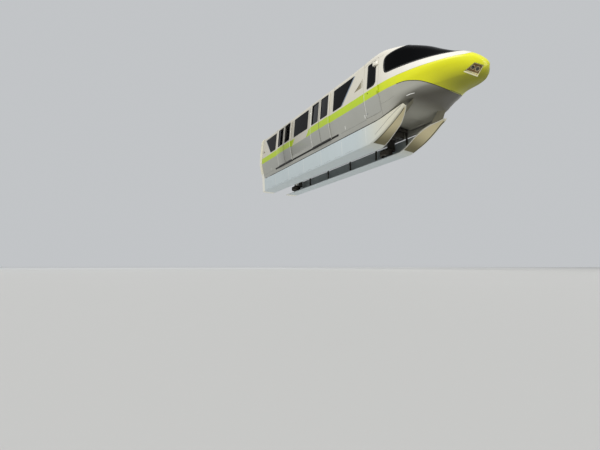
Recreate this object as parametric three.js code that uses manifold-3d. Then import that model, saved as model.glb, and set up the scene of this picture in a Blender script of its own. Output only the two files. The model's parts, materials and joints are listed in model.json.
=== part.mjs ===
// Monorail cab car: the lead car of a straddle monorail train, with the driver's cab and long nose.
// Millimetres. +X points to the nose, +Y to the car's left, +Z up. The origin lies on the running surface
// that the load wheels roll on, midway between the two bogies.
import * as THREE from "three";
import { mergeVertices } from "three/addons/utils/BufferGeometryUtils.js";
import Module from "manifold-3d";

const wasm = await Module();
wasm.setup();

// Driving dimensions
const COUPLING_X = -4570; // rear coupling plane
const BODY_REAR_X = -4270; // rear edge of the side walls, where the end band starts
const CAB_X = 4420; // joint between the saloon and the cab
const WALL_NEAR = 1050; // everything in the side walls lies outside this half-width
const ROOF_SPLIT_Z = 1960; // cant rail, where roof and side walls meet
const STRIPE_LOW_Z = 620;
const FLOOR_TOP_Z = 195;
const WALL = 60;
const GLASS = 14;
const SEAM = 0.3; // gap between pieces that meet

const WINDOW_LOW_Z = 1000;
const WINDOW_TOP_Z = 1908;
const WIDE_WINDOW_HALF = 626;
const DOORWAY = { near: 985, far: 2255, low: FLOOR_TOP_Z, top: 1895 };
const LEAF = { gap: 6, thick: 30, low: -34, top: 1972 };
const SLOT = { half: 2770, near: 900, low: -30, top: 0, deep: 36 };

const BOGIE_X = 3600; // bogie centres lie this far from the origin
const LOAD_WHEEL = { radius: 500, half: 190, bore: 62, axle: 61.2 };
const GUIDE_WHEEL = { radius: 250, half: 100, bore: 31.3, pin: 30 };
const GUIDE_Y = 580; // the wheels' inner edge then runs on the side of a 660 mm wide beam
const GUIDE_Z = -240;
const GUIDE_SPREAD = 650;
const STABLE_Z = -740;
const HOUSING = { half: 740, y: 620, top: 1060, wall: 25 };
const WHEEL_WELL = { half: 700, y: 580 }; // hole in the floor over each load wheel
const SILL = { low: 60, top: 145, near: 720, far: 900 };

// Body sections. Each row is one station along the car; every column is a half-width (y) or a height (z).
// k: inner edge of the underside, b: bottom edge, e: that edge's rounding, l: stripe's lower edge,
// u: stripe's upper edge, t: corner where side and roof would meet unrounded, r: its rounding, c: crown.
const SECTION_COLUMNS = ["x", "yk", "zk", "yb", "zb", "e", "yl", "zl", "yu", "zu", "yt", "zt", "r", "zc"];
const SECTION_ROWS = [
  [-4570, 1010, 85, 1120, -216, 40, 1296, 620, 1300, 920, 1189, 2134, 250, 2230],
  [3500, 1010, 85, 1120, -216, 40, 1296, 620, 1300, 920, 1189, 2134, 250, 2230],
  [4420, 1010, 85, 1120, -216, 40, 1296, 620, 1300, 920, 1187, 2165, 255, 2262],
  [4900, 1000, 85, 1118, -212, 40, 1296, 622, 1300, 920, 1184, 2190, 260, 2292],
  [5250, 985, 85, 1105, -155, 40, 1291, 626, 1297, 918, 1175, 2172, 280, 2268],
  [5600, 950, 85, 1080, -80, 60, 1266, 632, 1276, 910, 1130, 2105, 320, 2185],
  [6040, 800, 85, 1030, 100, 120, 1186, 645, 1200, 898, 1010, 1985, 380, 2075],
  [6630, 460, 85, 865, 270, 160, 1042, 662, 1070, 868, 770, 1700, 420, 1785],
  [7160, 250, 86, 579, 280, 160, 850, 660, 888, 840, 560, 1330, 380, 1402],
  [7500, 210, 90, 477, 270, 150, 700, 650, 738, 822, 430, 1115, 260, 1170],
  [7750, 190, 94, 398, 260, 130, 568, 630, 596, 795, 350, 995, 200, 1030],
  [7980, 150, 120, 288, 260, 90, 378, 570, 404, 720, 240, 820, 130, 850],
  [8120, 90, 220, 164, 300, 50, 218, 500, 236, 600, 140, 660, 70, 680],
  [8200, 30, 400, 42, 416, 10, 56, 455, 60, 490, 36, 518, 14, 524],
];
const OUTER_STATIONS = [
  3500, 4420, 4900, 5250, 5600, 5820, 6040, 6335, 6630, 6900, 7160, 7350, 7500, 7630, 7750, 7880, 7980,
  8060, 8120, 8165,
];
const INNER_STATIONS = [3500, 4420, 4900, 5250, 5600, 6040, 6630, 7160, 7500, 7750, 7980];
const INNER_LAST_X = 8090;

// Lines drawn in side view, as [x, z]. The border parts the white cab from the nose colour.
const BORDER = [
  [5900, 904],
  [6350, 884],
  [6900, 854],
  [7500, 818],
  [7750, 796],
  [7840, 796],
  [7890, 840],
  [7940, 930],
  [7980, 1100],
];
const NOSE_SEAM = [
  [5900, STRIPE_LOW_Z],
  [6120, 606],
  [6330, 560],
  [6600, 460],
  [6830, 320],
  [7000, 195],
  [7160, 60],
];
const WINDSHIELD = [
  [5600, 1200],
  [6000, 1180],
  [6630, 1134],
  [7160, 1098],
  [7660, 1068],
  [8000, 1400],
  [6900, 2500],
  [6400, 2500],
  [6230, 2060],
  [6130, 1950],
  [6000, 1904],
  [5810, 1872],
  [5550, 1828],
  [5460, 1785],
  [5412, 1700],
  [5400, 1500],
  [5440, 1290],
  [5500, 1222],
];

// Skirt stations: top edge (yt, zt), outer bottom edge (yo, zo), inner bottom edge (yi, zi).
const SKIRT_COLUMNS = ["x", "yt", "zt", "yo", "zo", "yi", "zi"];
const SKIRT_ROWS = [
  [COUPLING_X, 1130, -232, 1085, -950, 450, -950],
  [4400, 1130, -232, 1085, -950, 450, -950],
  [4520, 1130, -232, 1085, -925, 455, -915],
  [4770, 1130, -232, 1085, -845, 465, -805],
  [5060, 1129, -216, 1085, -740, 475, -620],
  [5390, 1124, -172, 1078, -580, 520, -430],
  [5710, 1108, -118, 1060, -390, 680, -260],
  [5900, 1096, -84, 1050, -262, 820, -180],
  [6030, 1085, -62, 1046, -176, 920, -115],
];
const SKIRT_WALL = 30;
const SKIRT_ROUND = 70;

// Materials
function finish(color, roughness, metalness = 0, extra = {}) {
  return new THREE.MeshStandardMaterial({ color, roughness, metalness, ...extra });
}
const MATERIALS = {
  body: finish(0xe8e2d0, 0.35),
  nose: finish(0xd2dc1e, 0.3),
  lower: finish(0xcfccc0, 0.4),
  skirt: finish(0xdfe1e0, 0.4),
  band: finish(0xe6dcc0, 0.5),
  glass: finish(0x14161a, 0.08, 0, { transparent: true, opacity: 0.6 }),
  frame: finish(0x2c2e30, 0.6, 0.4),
  tyre: finish(0x1b1b1c, 0.85),
  motor: finish(0x54585c, 0.5, 0.6),
  lamp: finish(0xd8d8d4, 0.2, 0.8),
  interior: finish(0xb9bab4, 0.7),
  cushion: finish(0x3b5f8c, 0.8),
};

// Solids from three.js geometry
function toSolid(geometry) {
  const source = geometry.index ? geometry.toNonIndexed() : geometry;
  const bare = new THREE.BufferGeometry();
  bare.setAttribute("position", source.getAttribute("position"));
  const merged = mergeVertices(bare, 1e-3);
  const mesh = new wasm.Mesh({
    numProp: 3,
    vertProperties: merged.attributes.position.array,
    triVerts: new Uint32Array(merged.index.array),
  });
  return new wasm.Manifold(mesh);
}

function join(...solids) {
  return solids.reduce((whole, solid) => whole.add(solid));
}

function box(x0, x1, y0, y1, z0, z1) {
  const geometry = new THREE.BoxGeometry(x1 - x0, y1 - y0, z1 - z0);
  return toSolid(geometry.translate((x0 + x1) / 2, (y0 + y1) / 2, (z0 + z1) / 2));
}

// A cylinder whose axis runs along "x", "y" or "z", from one end to the other.
function rod(axis, radius, from, to, a, b, sides = 16) {
  const geometry = new THREE.CylinderGeometry(radius, radius, to - from, sides);
  const middle = (from + to) / 2;
  if (axis === "x") geometry.rotateZ(Math.PI / 2).translate(middle, a, b);
  if (axis === "y") geometry.translate(a, middle, b);
  if (axis === "z") geometry.rotateX(Math.PI / 2).translate(a, b, middle);
  return toSolid(geometry);
}

function outline(points) {
  return new THREE.Shape(points.map(([a, b]) => new THREE.Vector2(a, b)));
}

// An outline in side view (x, z), carried across the car from y0 to y1.
function sidePrism(points, y0, y1) {
  const geometry = new THREE.ExtrudeGeometry(outline(points), { depth: y1 - y0, bevelEnabled: false });
  return toSolid(geometry.rotateX(Math.PI / 2).translate(0, y1, 0));
}

// An outline in plan (x, y), carried up from z0 to z1.
function planPrism(points, z0, z1) {
  const geometry = new THREE.ExtrudeGeometry(outline(points), { depth: z1 - z0, bevelEnabled: false });
  return toSolid(geometry.translate(0, 0, z0));
}

// Moves each edge of a convex outline, given anticlockwise, outward by d.
function grow(points, d) {
  const count = points.length;
  const edges = points.map(([ax, ay], i) => {
    const [bx, by] = points[(i + 1) % count];
    const length = Math.hypot(bx - ax, by - ay);
    const nx = (by - ay) / length;
    const ny = (ax - bx) / length;
    return { nx, ny, c: nx * ax + ny * ay + d };
  });
  return points.map((_, i) => {
    const p = edges[(i + count - 1) % count];
    const q = edges[i];
    const det = p.nx * q.ny - p.ny * q.nx;
    return [(p.c * q.ny - q.c * p.ny) / det, (p.nx * q.c - q.nx * p.c) / det];
  });
}

function rectangle(x0, x1, z0, z1) {
  return [
    [x0, z0],
    [x1, z0],
    [x1, z1],
    [x0, z1],
  ];
}

// A skin over closed rings of [x, y, z] points, with a flat cap at each end. Rings run anticlockwise as seen
// from +X and go from rear to front.
function loft(rings) {
  const count = rings[0].length;
  const at = (i, j) => i * count + (j % count);
  const index = [];
  for (let i = 0; i + 1 < rings.length; i++) {
    for (let j = 0; j < count; j++) {
      index.push(at(i, j), at(i, j + 1), at(i + 1, j + 1));
      index.push(at(i, j), at(i + 1, j + 1), at(i + 1, j));
    }
  }
  const last = rings.length - 1;
  for (const [ring, flip] of [[0, true], [last, false]]) {
    const flat = rings[ring].map(([, y, z]) => new THREE.Vector2(y, z));
    for (const [a, b, c] of THREE.ShapeUtils.triangulateShape(flat, [])) {
      index.push(at(ring, a), at(ring, flip ? c : b), at(ring, flip ? b : c));
    }
  }
  const geometry = new THREE.BufferGeometry();
  geometry.setAttribute("position", new THREE.Float32BufferAttribute(rings.flat(2), 3));
  geometry.setIndex(index);
  return toSolid(geometry);
}

// One station between table rows, each column on a curve that doesn't overshoot its rows.
function stationAt(columns, rows, x) {
  const last = rows.length - 1;
  const xs = rows.map((row) => row[0]);
  const i = Math.min(Math.max(xs.findLastIndex((v) => v <= x), 0), last - 1);
  const slope = (row, c) => (rows[row + 1][c] - rows[row][c]) / (xs[row + 1] - xs[row]);
  const tangent = (row, c) => {
    if (row === 0 || row === last) return slope(Math.min(row, last - 1), c);
    const before = slope(row - 1, c);
    const after = slope(row, c);
    return before * after <= 0 ? 0 : (2 * before * after) / (before + after);
  };
  const width = xs[i + 1] - xs[i];
  const s = (x - xs[i]) / width;
  const station = { x };
  columns.slice(1).forEach((name, n) => {
    const c = n + 1;
    station[name] =
      (1 + 2 * s) * (1 - s) ** 2 * rows[i][c] +
      s * (1 - s) ** 2 * width * tangent(i, c) +
      s * s * (3 - 2 * s) * rows[i + 1][c] +
      s * s * (s - 1) * width * tangent(i + 1, c);
  });
  return station;
}

// Rounds the corner at b, between a and c, with an arc of the given radius in some steps.
function roundCorner(a, b, c, radius, steps) {
  const va = new THREE.Vector2(a[0] - b[0], a[1] - b[1]);
  const vc = new THREE.Vector2(c[0] - b[0], c[1] - b[1]);
  const half = va.angleTo(vc) / 2;
  const reach = Math.min(radius / Math.tan(half), radius, 0.45 * va.length(), 0.6 * vc.length());
  const start = new THREE.Vector2(...b).add(va.clone().setLength(reach));
  const end = new THREE.Vector2(...b).add(vc.clone().setLength(reach));
  const curve = new THREE.QuadraticBezierCurve(start, new THREE.Vector2(...b), end);
  return curve.getPoints(steps).map((p) => [p.x, p.y]);
}

const WAIST_ROUND = 160;

// Half of the body's outline at a station, from under the middle up to the crown, moved outward by off.
function halfSection(s, off) {
  const k = [s.yk, s.zk - off];
  const b = [s.yb + off, s.zb - off];
  const l = [s.yl + off, s.zl];
  const u = [s.yu + off, s.zu];
  const t = [s.yt + off, s.zt + off];
  const crown = [0, s.zc + off];
  const roof = [t[0] * 0.5, crown[1]];
  const shoulder = roundCorner(u, t, roof, s.r + off, 4);
  const top = new THREE.QuadraticBezierCurve(
    new THREE.Vector2(...shoulder.at(-1)),
    new THREE.Vector2(...roof),
    new THREE.Vector2(...crown),
  );
  return [
    [0, k[1]],
    k,
    ...roundCorner(k, b, l, s.e, 3),
    ...roundCorner(b, l, u, WAIST_ROUND, 2),
    ...roundCorner(l, u, t, WAIST_ROUND, 2),
    ...shoulder,
    ...top.getPoints(3).slice(1).map((p) => [p.x, p.y]),
  ];
}

function bodyRing(x, off) {
  const half = halfSection(stationAt(SECTION_COLUMNS, SECTION_ROWS, x), off);
  const other = half.slice(1, -1).reverse();
  return [...half.map(([y, z]) => [x, y, z]), ...other.map(([y, z]) => [x, -y, z])];
}

// The whole body's form, moved outward by off, between two stations.
function bodyForm(off, from = COUPLING_X, to = 8200) {
  const stations = off < -GLASS ? INNER_STATIONS : OUTER_STATIONS;
  const between = stations.filter((x) => x > from && x < to);
  return loft([from, ...between, to].map((x) => bodyRing(x, off)));
}

const FAR = 9000;
const outerForm = bodyForm(0);
const innerForm = bodyForm(-WALL, COUPLING_X - 50, INNER_LAST_X);
const liningForm = bodyForm(-WALL - SEAM, COUPLING_X - 50, INNER_LAST_X);
const glassForm = outerForm.subtract(bodyForm(-GLASS, COUPLING_X - 50, INNER_LAST_X + 60));
const shell = outerForm.subtract(innerForm);

const group = new THREE.Group();

function add(name, material, solid) {
  const { vertProperties, triVerts } = solid.getMesh();
  const geometry = new THREE.BufferGeometry();
  geometry.setAttribute("position", new THREE.BufferAttribute(vertProperties, 3));
  geometry.setIndex(new THREE.BufferAttribute(triVerts, 1));
  const flat = geometry.toNonIndexed();
  flat.computeVertexNormals();
  const mesh = new THREE.Mesh(flat, MATERIALS[material]);
  mesh.name = name;
  group.add(mesh);
}

const SIDES = [
  { side: "right", s: -1 },
  { side: "left", s: 1 },
];
const ENDS = [
  { end: "rear", e: -1 },
  { end: "front", e: 1 },
];

// A box on one side of the car: y runs from near to far, away from the middle.
function sideBox(s, x0, x1, near, far, z0, z1) {
  return box(x0, x1, Math.min(s * near, s * far), Math.max(s * near, s * far), z0, z1);
}

function mirrorX(points) {
  return points.map(([x, z]) => [-x, z]).reverse();
}

// Fixed windows in side view, anticlockwise
const SLANTED_WINDOW = [
  [2585, WINDOW_LOW_Z],
  [3140, WINDOW_LOW_Z],
  [3861, WINDOW_TOP_Z],
  [2585, WINDOW_TOP_Z],
];
const FIXED_WINDOWS = {
  middle: rectangle(-WIDE_WINDOW_HALF, WIDE_WINDOW_HALF, WINDOW_LOW_Z, WINDOW_TOP_Z),
  front: SLANTED_WINDOW,
  rear: mirrorX(SLANTED_WINDOW),
};

// Three-cornered air intakes, sunk into each side wall at both ends of the saloon
const INTAKE_DEPTH = 24;
const INTAKES = [
  [
    [3900, 1210],
    [4395, 1210],
    [4395, 1510],
  ],
  [
    [-4220, 1210],
    [-3900, 1210],
    [-4220, 1510],
  ],
];

// Saloon: roof, side walls, glass, floor and rear wall
function makeSaloon() {
  const length = [BODY_REAR_X, CAB_X - SEAM];
  add("roof_shell", "body", shell.intersect(box(...length, -FAR, FAR, ROOF_SPLIT_Z, FAR)));
  const outside = bodyForm(10, -SLOT.half, SLOT.half);
  const groove = outside.subtract(bodyForm(-SLOT.deep, -SLOT.half - 9, SLOT.half + 9));
  const intakeLayer = shell.subtract(bodyForm(-INTAKE_DEPTH));
  for (const { side, s } of SIDES) {
    const across = [Math.min(0, s * FAR), Math.max(0, s * FAR)];
    let wall = shell.intersect(sideBox(s, ...length, WALL_NEAR, FAR, -FAR, ROOF_SPLIT_Z - SEAM));
    for (const [place, points] of Object.entries(FIXED_WINDOWS)) {
      wall = wall.subtract(sidePrism(grow(points, SEAM), ...across));
      add(`glass_${side}_${place}`, "glass", glassForm.intersect(sidePrism(points, ...across)));
    }
    for (const points of INTAKES) {
      wall = wall.subtract(intakeLayer.intersect(sidePrism(points, ...across)));
    }
    for (const { e } of ENDS) {
      const x = [e * DOORWAY.near, e * DOORWAY.far].sort((a, b) => a - b);
      wall = wall.subtract(sideBox(s, ...x, 0, FAR, DOORWAY.low, DOORWAY.top));
    }
    const slotArea = sideBox(s, -SLOT.half, SLOT.half, SLOT.near, FAR, SLOT.low, SLOT.top);
    wall = wall.subtract(groove.intersect(slotArea));
    add(`side_wall_${side}`, "body", wall);
  }
  const floorArea = box(BODY_REAR_X + WALL, CAB_X - SEAM, -FAR, FAR, SILL.top + SEAM, FLOOR_TOP_Z);
  let floor = liningForm.intersect(floorArea);
  for (const { e } of ENDS) {
    const { half, y } = WHEEL_WELL;
    floor = floor.subtract(box(e * BOGIE_X - half, e * BOGIE_X + half, -y, y, 0, FAR));
  }
  add("floor_pan", "interior", floor);
  const rearWall = box(BODY_REAR_X, BODY_REAR_X + WALL - SEAM, -FAR, FAR, SILL.top + SEAM, FAR);
  add("rear_end_wall", "body", liningForm.intersect(rearWall));
}

// Cab: shell, windshield, nose cowl, bow, doors and fittings
const CAB_DOOR = { rear: 4446, front: 5158, low: 12, top: 1962, near: 1040, frame: 10 };
const CAB_WINDOW = [
  [4620, 1010],
  [4950, 1010],
  [5025, 1090],
  [5025, 1900],
  [4640, 1900],
];
// Pod over the front top corner of each cab door's window, in plan, as [x, half-width]
const POD_Z = [1665, 1845];
const POD = [
  [4930, 1200],
  [5150, 1200],
  [5150, 1240],
  [5090, 1290],
  [5000, 1322],
  [4930, 1322],
];
const HINGE = { x: 5172, y: 1332, pin: 10, bore: 10.8, sleeve: 18, low: 660, top: 900, gap: 6, web: 24 };
const HINGE_LUG = { back: 4, front: 34, near: 1270 };
const HINGE_TAB = { rear: CAB_DOOR.front - 40, front: CAB_DOOR.front - 4, root: 1284, near: 1306, proud: 10 };

function makeCab() {
  const cowlArea = [...NOSE_SEAM, [7170, -500], [8600, -500], [8600, 1100], ...BORDER.toReversed()];
  const cowl = sidePrism(cowlArea, -FAR, FAR);
  const glazing = sidePrism(WINDSHIELD, -FAR, FAR);
  const seamed = (tool, shifts) => join(tool, ...shifts.map(([x, z]) => tool.translate([x, 0, z])));
  const cowlCut = seamed(cowl, [[-SEAM, SEAM], [-SEAM, -SEAM]]);
  const glazingCut = seamed(glazing, [[-SEAM, -SEAM], [-SEAM, SEAM]]);

  let upper = shell.intersect(box(CAB_X, FAR, -FAR, FAR, STRIPE_LOW_Z + SEAM, FAR));
  upper = upper.subtract(cowlCut).subtract(glazingCut);
  let bow = shell.intersect(box(CAB_X, 7400, -FAR, FAR, -FAR, STRIPE_LOW_Z)).subtract(cowlCut);
  const { rear, front, low: doorLow, top: doorTop, near, frame } = CAB_DOOR;
  const doorway = rectangle(CAB_X - 1, front + frame, doorLow - frame, doorTop + frame);
  const doorPanel = rectangle(rear, front, doorLow, doorTop);
  const { low, top, gap, web } = HINGE;
  const sleeveZ = [low + web + gap, top - web - gap];
  const lugZ = [
    [low, low + web],
    [top - web, top],
  ];
  for (const { side, s } of SIDES) {
    const y = [Math.min(s * near, s * FAR), Math.max(s * near, s * FAR)];
    const opening = sidePrism(doorway, ...y);
    upper = upper.subtract(opening);
    bow = bow.subtract(opening);
    const pin = rod("z", HINGE.pin, low, top, HINGE.x, s * HINGE.y, 12);
    const lugX = [HINGE.x - HINGE_LUG.back, HINGE.x + HINGE_LUG.front];
    const lugs = lugZ.map((z) => sideBox(s, ...lugX, HINGE_LUG.near, HINGE.y, ...z));
    upper = join(upper, pin, ...lugs);
    const sleeve = rod("z", HINGE.sleeve, ...sleeveZ, HINGE.x, s * HINGE.y, 12);
    const tabFar = HINGE.y + HINGE_TAB.proud;
    const root = sideBox(s, HINGE_TAB.rear, HINGE_TAB.front, HINGE_TAB.root, tabFar, ...sleeveZ);
    const tab = sideBox(s, HINGE_TAB.rear, HINGE.x, HINGE_TAB.near, tabFar, ...sleeveZ);
    const bore = rod("z", HINGE.bore, 0, FAR, HINGE.x, s * HINGE.y, 12);
    const panel = shell.intersect(sidePrism(doorPanel, ...y)).subtract(sidePrism(CAB_WINDOW, ...y));
    const podLeft = planPrism(POD, ...POD_Z);
    const pod = s > 0 ? podLeft : podLeft.mirror([0, 1, 0]);
    add(`cab_door_${side}`, "body", join(panel, pod, sleeve, root, tab).subtract(bore));
  }
  add("cab_shell", "body", upper);
  add("bow_shell", "lower", bow);
  add("windshield", "glass", glassForm.intersect(glazing));
  makeNose(shell.intersect(cowl));
}

// Lamp recess corners on the right side, as [x, y, z]: upper rear, upper front, lower front, lower rear
const LAMP_CORNERS = [
  [8004, -336, 493],
  [8148, -143, 393],
  [7970, -172, 139],
  [7734, -438, 334],
];
const LAMP = { pocket: 110, plate: 26, proud: 40, root: 4 };
const LAMPS = [
  { u: 0.68, r: 52 },
  { u: 0.3, r: 46 },
];

const LAMP_CLEAR = 400; // how far the pocket's cut reaches outward

// A solid over the lamp outline, from depth to top along the outline's outward normal.
function lampBlock(s, depth, top, shrink) {
  const corners = LAMP_CORNERS.map(([x, y, z]) => new THREE.Vector3(x, -s * y, z));
  const middle = corners.reduce((sum, c) => sum.add(c), new THREE.Vector3()).multiplyScalar(0.25);
  const across = corners[1].clone().sub(corners[0]).normalize();
  const down = corners[3].clone().sub(corners[0]);
  const normal = across.clone().cross(down).normalize();
  if (normal.x < 0) normal.negate();
  const up = normal.clone().cross(across);
  const basis = new THREE.Matrix4().makeBasis(across, up, normal).setPosition(middle);
  const inverse = basis.clone().invert();
  const flat = corners.map((c) => c.clone().applyMatrix4(inverse));
  if (THREE.ShapeUtils.area(flat) < 0) flat.reverse();
  const points = grow(flat.map((p) => [p.x, p.y]), -shrink);
  const geometry = new THREE.ExtrudeGeometry(outline(points), { depth: top - depth, bevelEnabled: false });
  return { solid: toSolid(geometry.translate(0, 0, depth).applyMatrix4(basis)), basis, flat };
}

function makeNose(cowl) {
  for (const { side, s } of SIDES) {
    cowl = cowl.subtract(lampBlock(s, -LAMP.pocket, LAMP_CLEAR, 0).solid);
    const { solid, basis, flat } = lampBlock(s, -LAMP.pocket + SEAM, -LAMP.pocket + LAMP.plate, SEAM);
    const rearEnd = flat[0].clone().lerp(flat[3], 0.5);
    const frontEnd = flat[1].clone().lerp(flat[2], 0.5);
    const lamps = LAMPS.map(({ u, r }) => {
      const at = rearEnd.clone().lerp(frontEnd, u);
      const geometry = new THREE.CylinderGeometry(r, r, LAMP.proud, 16).rotateX(Math.PI / 2);
      geometry.translate(at.x, at.y, -LAMP.pocket + LAMP.plate + LAMP.proud / 2 - LAMP.root);
      return toSolid(geometry.applyMatrix4(basis));
    });
    add(`headlamps_${side}`, "lamp", join(solid, ...lamps));
  }
  add("nose_cowl", "nose", cowl);
}

const CAB_STANDING_Z = SILL.top + SEAM;
const BULKHEAD_THICK = 40;
const CONSOLE_HALF = 480;
const CONSOLE = [
  [6250, CAB_STANDING_Z],
  [6850, CAB_STANDING_Z],
  [6900, 700],
  [6780, 860],
  [6330, 760],
  [6330, 640],
];
const SEAT_PEDESTAL = [5520, 5760, -120, 120, CAB_STANDING_Z, 560];
const SEAT_PAD = [5400, 5880, -240, 240, 540, 660];
const SEAT_BACK_HALF = 230;
const SEAT_BACK = [
  [5360, 560],
  [5470, 560],
  [5400, 1340],
  [5290, 1340],
];

function makeCabInside() {
  const bulkhead = box(CAB_X - BULKHEAD_THICK, CAB_X - 2 * SEAM, -FAR, FAR, FLOOR_TOP_Z + SEAM, FAR);
  add("cab_bulkhead", "interior", liningForm.intersect(bulkhead));
  const desk = sidePrism(CONSOLE, -CONSOLE_HALF, CONSOLE_HALF);
  add("cab_console", "frame", liningForm.intersect(desk));
  const back = sidePrism(SEAT_BACK, -SEAT_BACK_HALF, SEAT_BACK_HALF);
  add("cab_seat", "cushion", join(box(...SEAT_PEDESTAL), box(...SEAT_PAD), back));
}

// Rear band: half of the hoop between two cars, with the skirt's own section below
const BAND_LEG_TOP_Z = -180;
const BAND_OPEN_Z = 400; // below this the hoop is only its two legs

function makeEndBand() {
  const bandOnly = box(COUPLING_X, BODY_REAR_X - SEAM, -FAR, FAR, -FAR, FAR);
  const hoop = shell.intersect(bandOnly);
  const open = hoop.subtract(box(-FAR, FAR, -WALL_NEAR, WALL_NEAR, -FAR, BAND_OPEN_Z));
  const legs = SIDES.map(({ s }) => skirtForm(s, SKIRT_ROWS.slice(0, 2), BAND_LEG_TOP_Z));
  add("end_band", "band", join(open, ...legs).intersect(bandOnly));
}

// The skirt's C-shaped section, open towards the beam. A topZ replaces the rows' own top edge.
function skirtForm(s, rows, topZ) {
  const rings = rows.map((row) => {
    const r = Object.fromEntries(SKIRT_COLUMNS.map((name, i) => [name, row[i]]));
    const zt = topZ ?? r.zt;
    const reach = Math.min(SKIRT_ROUND, 0.35 * (r.zt - r.zo));
    const outer = roundCorner([r.yi, r.zi], [r.yo, r.zo], [r.yt, zt], reach, 4);
    const t = SKIRT_WALL;
    const inner = roundCorner([r.yi, r.zi + t], [r.yo - t, r.zo + t], [r.yt - t, zt], reach, 4);
    const topEdge = [
      [r.yt, zt],
      [r.yt - t, zt],
    ];
    const ring = [[r.yi, r.zi], ...outer, ...topEdge, ...inner.toReversed(), [r.yi, r.zi + t]];
    return ring.map(([y, z]) => [r.x, y, z]);
  });
  const left = loft(rings);
  return s > 0 ? left : left.mirror([0, 1, 0]);
}

function makeSkirts() {
  const ahead = box(BODY_REAR_X, FAR, -FAR, FAR, -FAR, FAR);
  for (const { side, s } of SIDES) {
    add(`skirt_${side}`, "skirt", skirtForm(s, SKIRT_ROWS).intersect(ahead));
  }
}

// Underframe: sills, crossmembers and drawbar, with a rack of posts outside each sill to carry the skirt
const CROSS_X = [-4355, -2650, -900, 900, 2650, 4355];
const CROSS_HALF = 42;
const DRAWBAR_HALF = 70;
const RACK = { near: 925, far: 975, low: -950 + SKIRT_WALL + SEAM, rail: 40, post: 30, arm: 20 };

function makeUnderframe() {
  const sillX = [CROSS_X[0] - CROSS_HALF, CROSS_X.at(-1) + CROSS_HALF];
  const sills = SIDES.map(({ s }) => sideBox(s, ...sillX, SILL.near, SILL.far, SILL.low, SILL.top));
  const half = CROSS_HALF;
  const beams = CROSS_X.map((x) => box(x - half, x + half, -SILL.far, SILL.far, SILL.low, SILL.top));
  const drawbar = box(COUPLING_X, CROSS_X[0], -DRAWBAR_HALF, DRAWBAR_HALF, SILL.low, SILL.top);
  add("underframe", "frame", join(...sills, ...beams, drawbar));
}

function makeSkirtRacks() {
  const { near, far, low, rail, post, arm } = RACK;
  const railX = [CROSS_X[0] - post, CROSS_X.at(-1) + post];
  for (const { side, s } of SIDES) {
    const parts = [sideBox(s, ...railX, near, far, low, low + rail)];
    for (const x of CROSS_X) {
      parts.push(sideBox(s, x - post, x + post, near, far, low, SILL.low + arm));
      parts.push(sideBox(s, x - post, x + post, SILL.far + SEAM, far, SILL.low, SILL.low + arm));
    }
    add(`skirt_rack_${side}`, "frame", join(...parts));
  }
}

// Bench boxes over the load wheels, and side benches between the doorways
const SEAT_TOP = 640;
const SEAT_DEPTH = 430;
const SEAT_WIDE = 1180;
const SEAT_CLEAR = 8; // seats end this far inside the lining
const BENCH_X = [-4205, CAB_X - 45];
const SIDE_BENCH = { half: 580, near: 760, backNear: 1110, backLow: 395, backTop: 960 };

function makeBenches() {
  const { half, y, top, wall } = HOUSING;
  const stand = FLOOR_TOP_Z + SEAM;
  const room = bodyForm(-WALL - SEAT_CLEAR, ...BENCH_X);
  for (const { end, e } of ENDS) {
    const c = e * BOGIE_X;
    const housing = box(c - half, c + half, -y, y, stand, top);
    const ledges = box(c - half, c + half, -SEAT_WIDE, SEAT_WIDE, stand, SEAT_TOP);
    const seatX = [c - e * (half - 10), c - e * (half + SEAT_DEPTH)].sort((p, q) => p - q);
    const seat = box(...seatX, -y, y, stand, SEAT_TOP);
    const well = box(c - half + wall, c + half - wall, -y + wall, y - wall, 0, top - wall);
    add(`bench_box_${end}`, "interior", join(housing, ledges, seat).intersect(room).subtract(well));
  }
  const { half: benchHalf, near, backNear, backLow, backTop } = SIDE_BENCH;
  for (const { side, s } of SIDES) {
    const seat = sideBox(s, -benchHalf, benchHalf, near, FAR, stand, SEAT_TOP);
    const back = sideBox(s, -benchHalf, benchHalf, backNear, FAR, backLow, backTop);
    add(`bench_${side}`, "cushion", join(seat, back).intersect(room));
  }
}

// A wheel turned from its half profile of [radius, across]; the axis runs along Y.
function wheelSolid(profile, sides) {
  const points = [...profile, profile[0]].map(([r, a]) => new THREE.Vector2(r, a));
  return toSolid(new THREE.LatheGeometry(points, sides));
}

function loadWheel() {
  const { radius, half, bore } = LOAD_WHEEL;
  const profile = [
    [bore, -150],
    [260, -150],
    [300, -half],
    [460, -half],
    [radius, -half + 50],
    [radius, half - 50],
    [460, half],
    [300, half],
    [260, 150],
    [bore, 150],
  ];
  return wheelSolid(profile, 24);
}

function guideWheel() {
  const { radius, half, bore } = GUIDE_WHEEL;
  const profile = [
    [bore, -half + 15],
    [150, -half + 15],
    [165, -half],
    [radius, -half + 20],
    [radius, half - 20],
    [165, half],
    [150, half - 15],
    [bore, half - 15],
  ];
  return wheelSolid(profile, 14).rotate([90, 0, 0]);
}

// Bogies
const SIDE_BEAM = { half: 900, near: 400, far: 800, low: -100, top: -10 };
const CROSS_BEAM = { x: 520, half: 60, y: 640, low: 20, top: 130 };
const LEG = { half: 180, y: 905, low: -620, shelf: -560 };
const GIRDER = [
  [-570, CROSS_BEAM.low],
  [570, CROSS_BEAM.low],
  [570, CROSS_BEAM.top],
  [120, 580],
  [-120, 580],
  [-570, CROSS_BEAM.top],
];
const GIRDER_Y = [230, 300];
const BEARER = { x: 450, y: 740, radius: 60 };
const MOTOR = { half: 280, far: 560, low: 320, top: 700 };
const PIN_REACH = 130; // how far a guide wheel's pin goes below the wheel's middle

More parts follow.
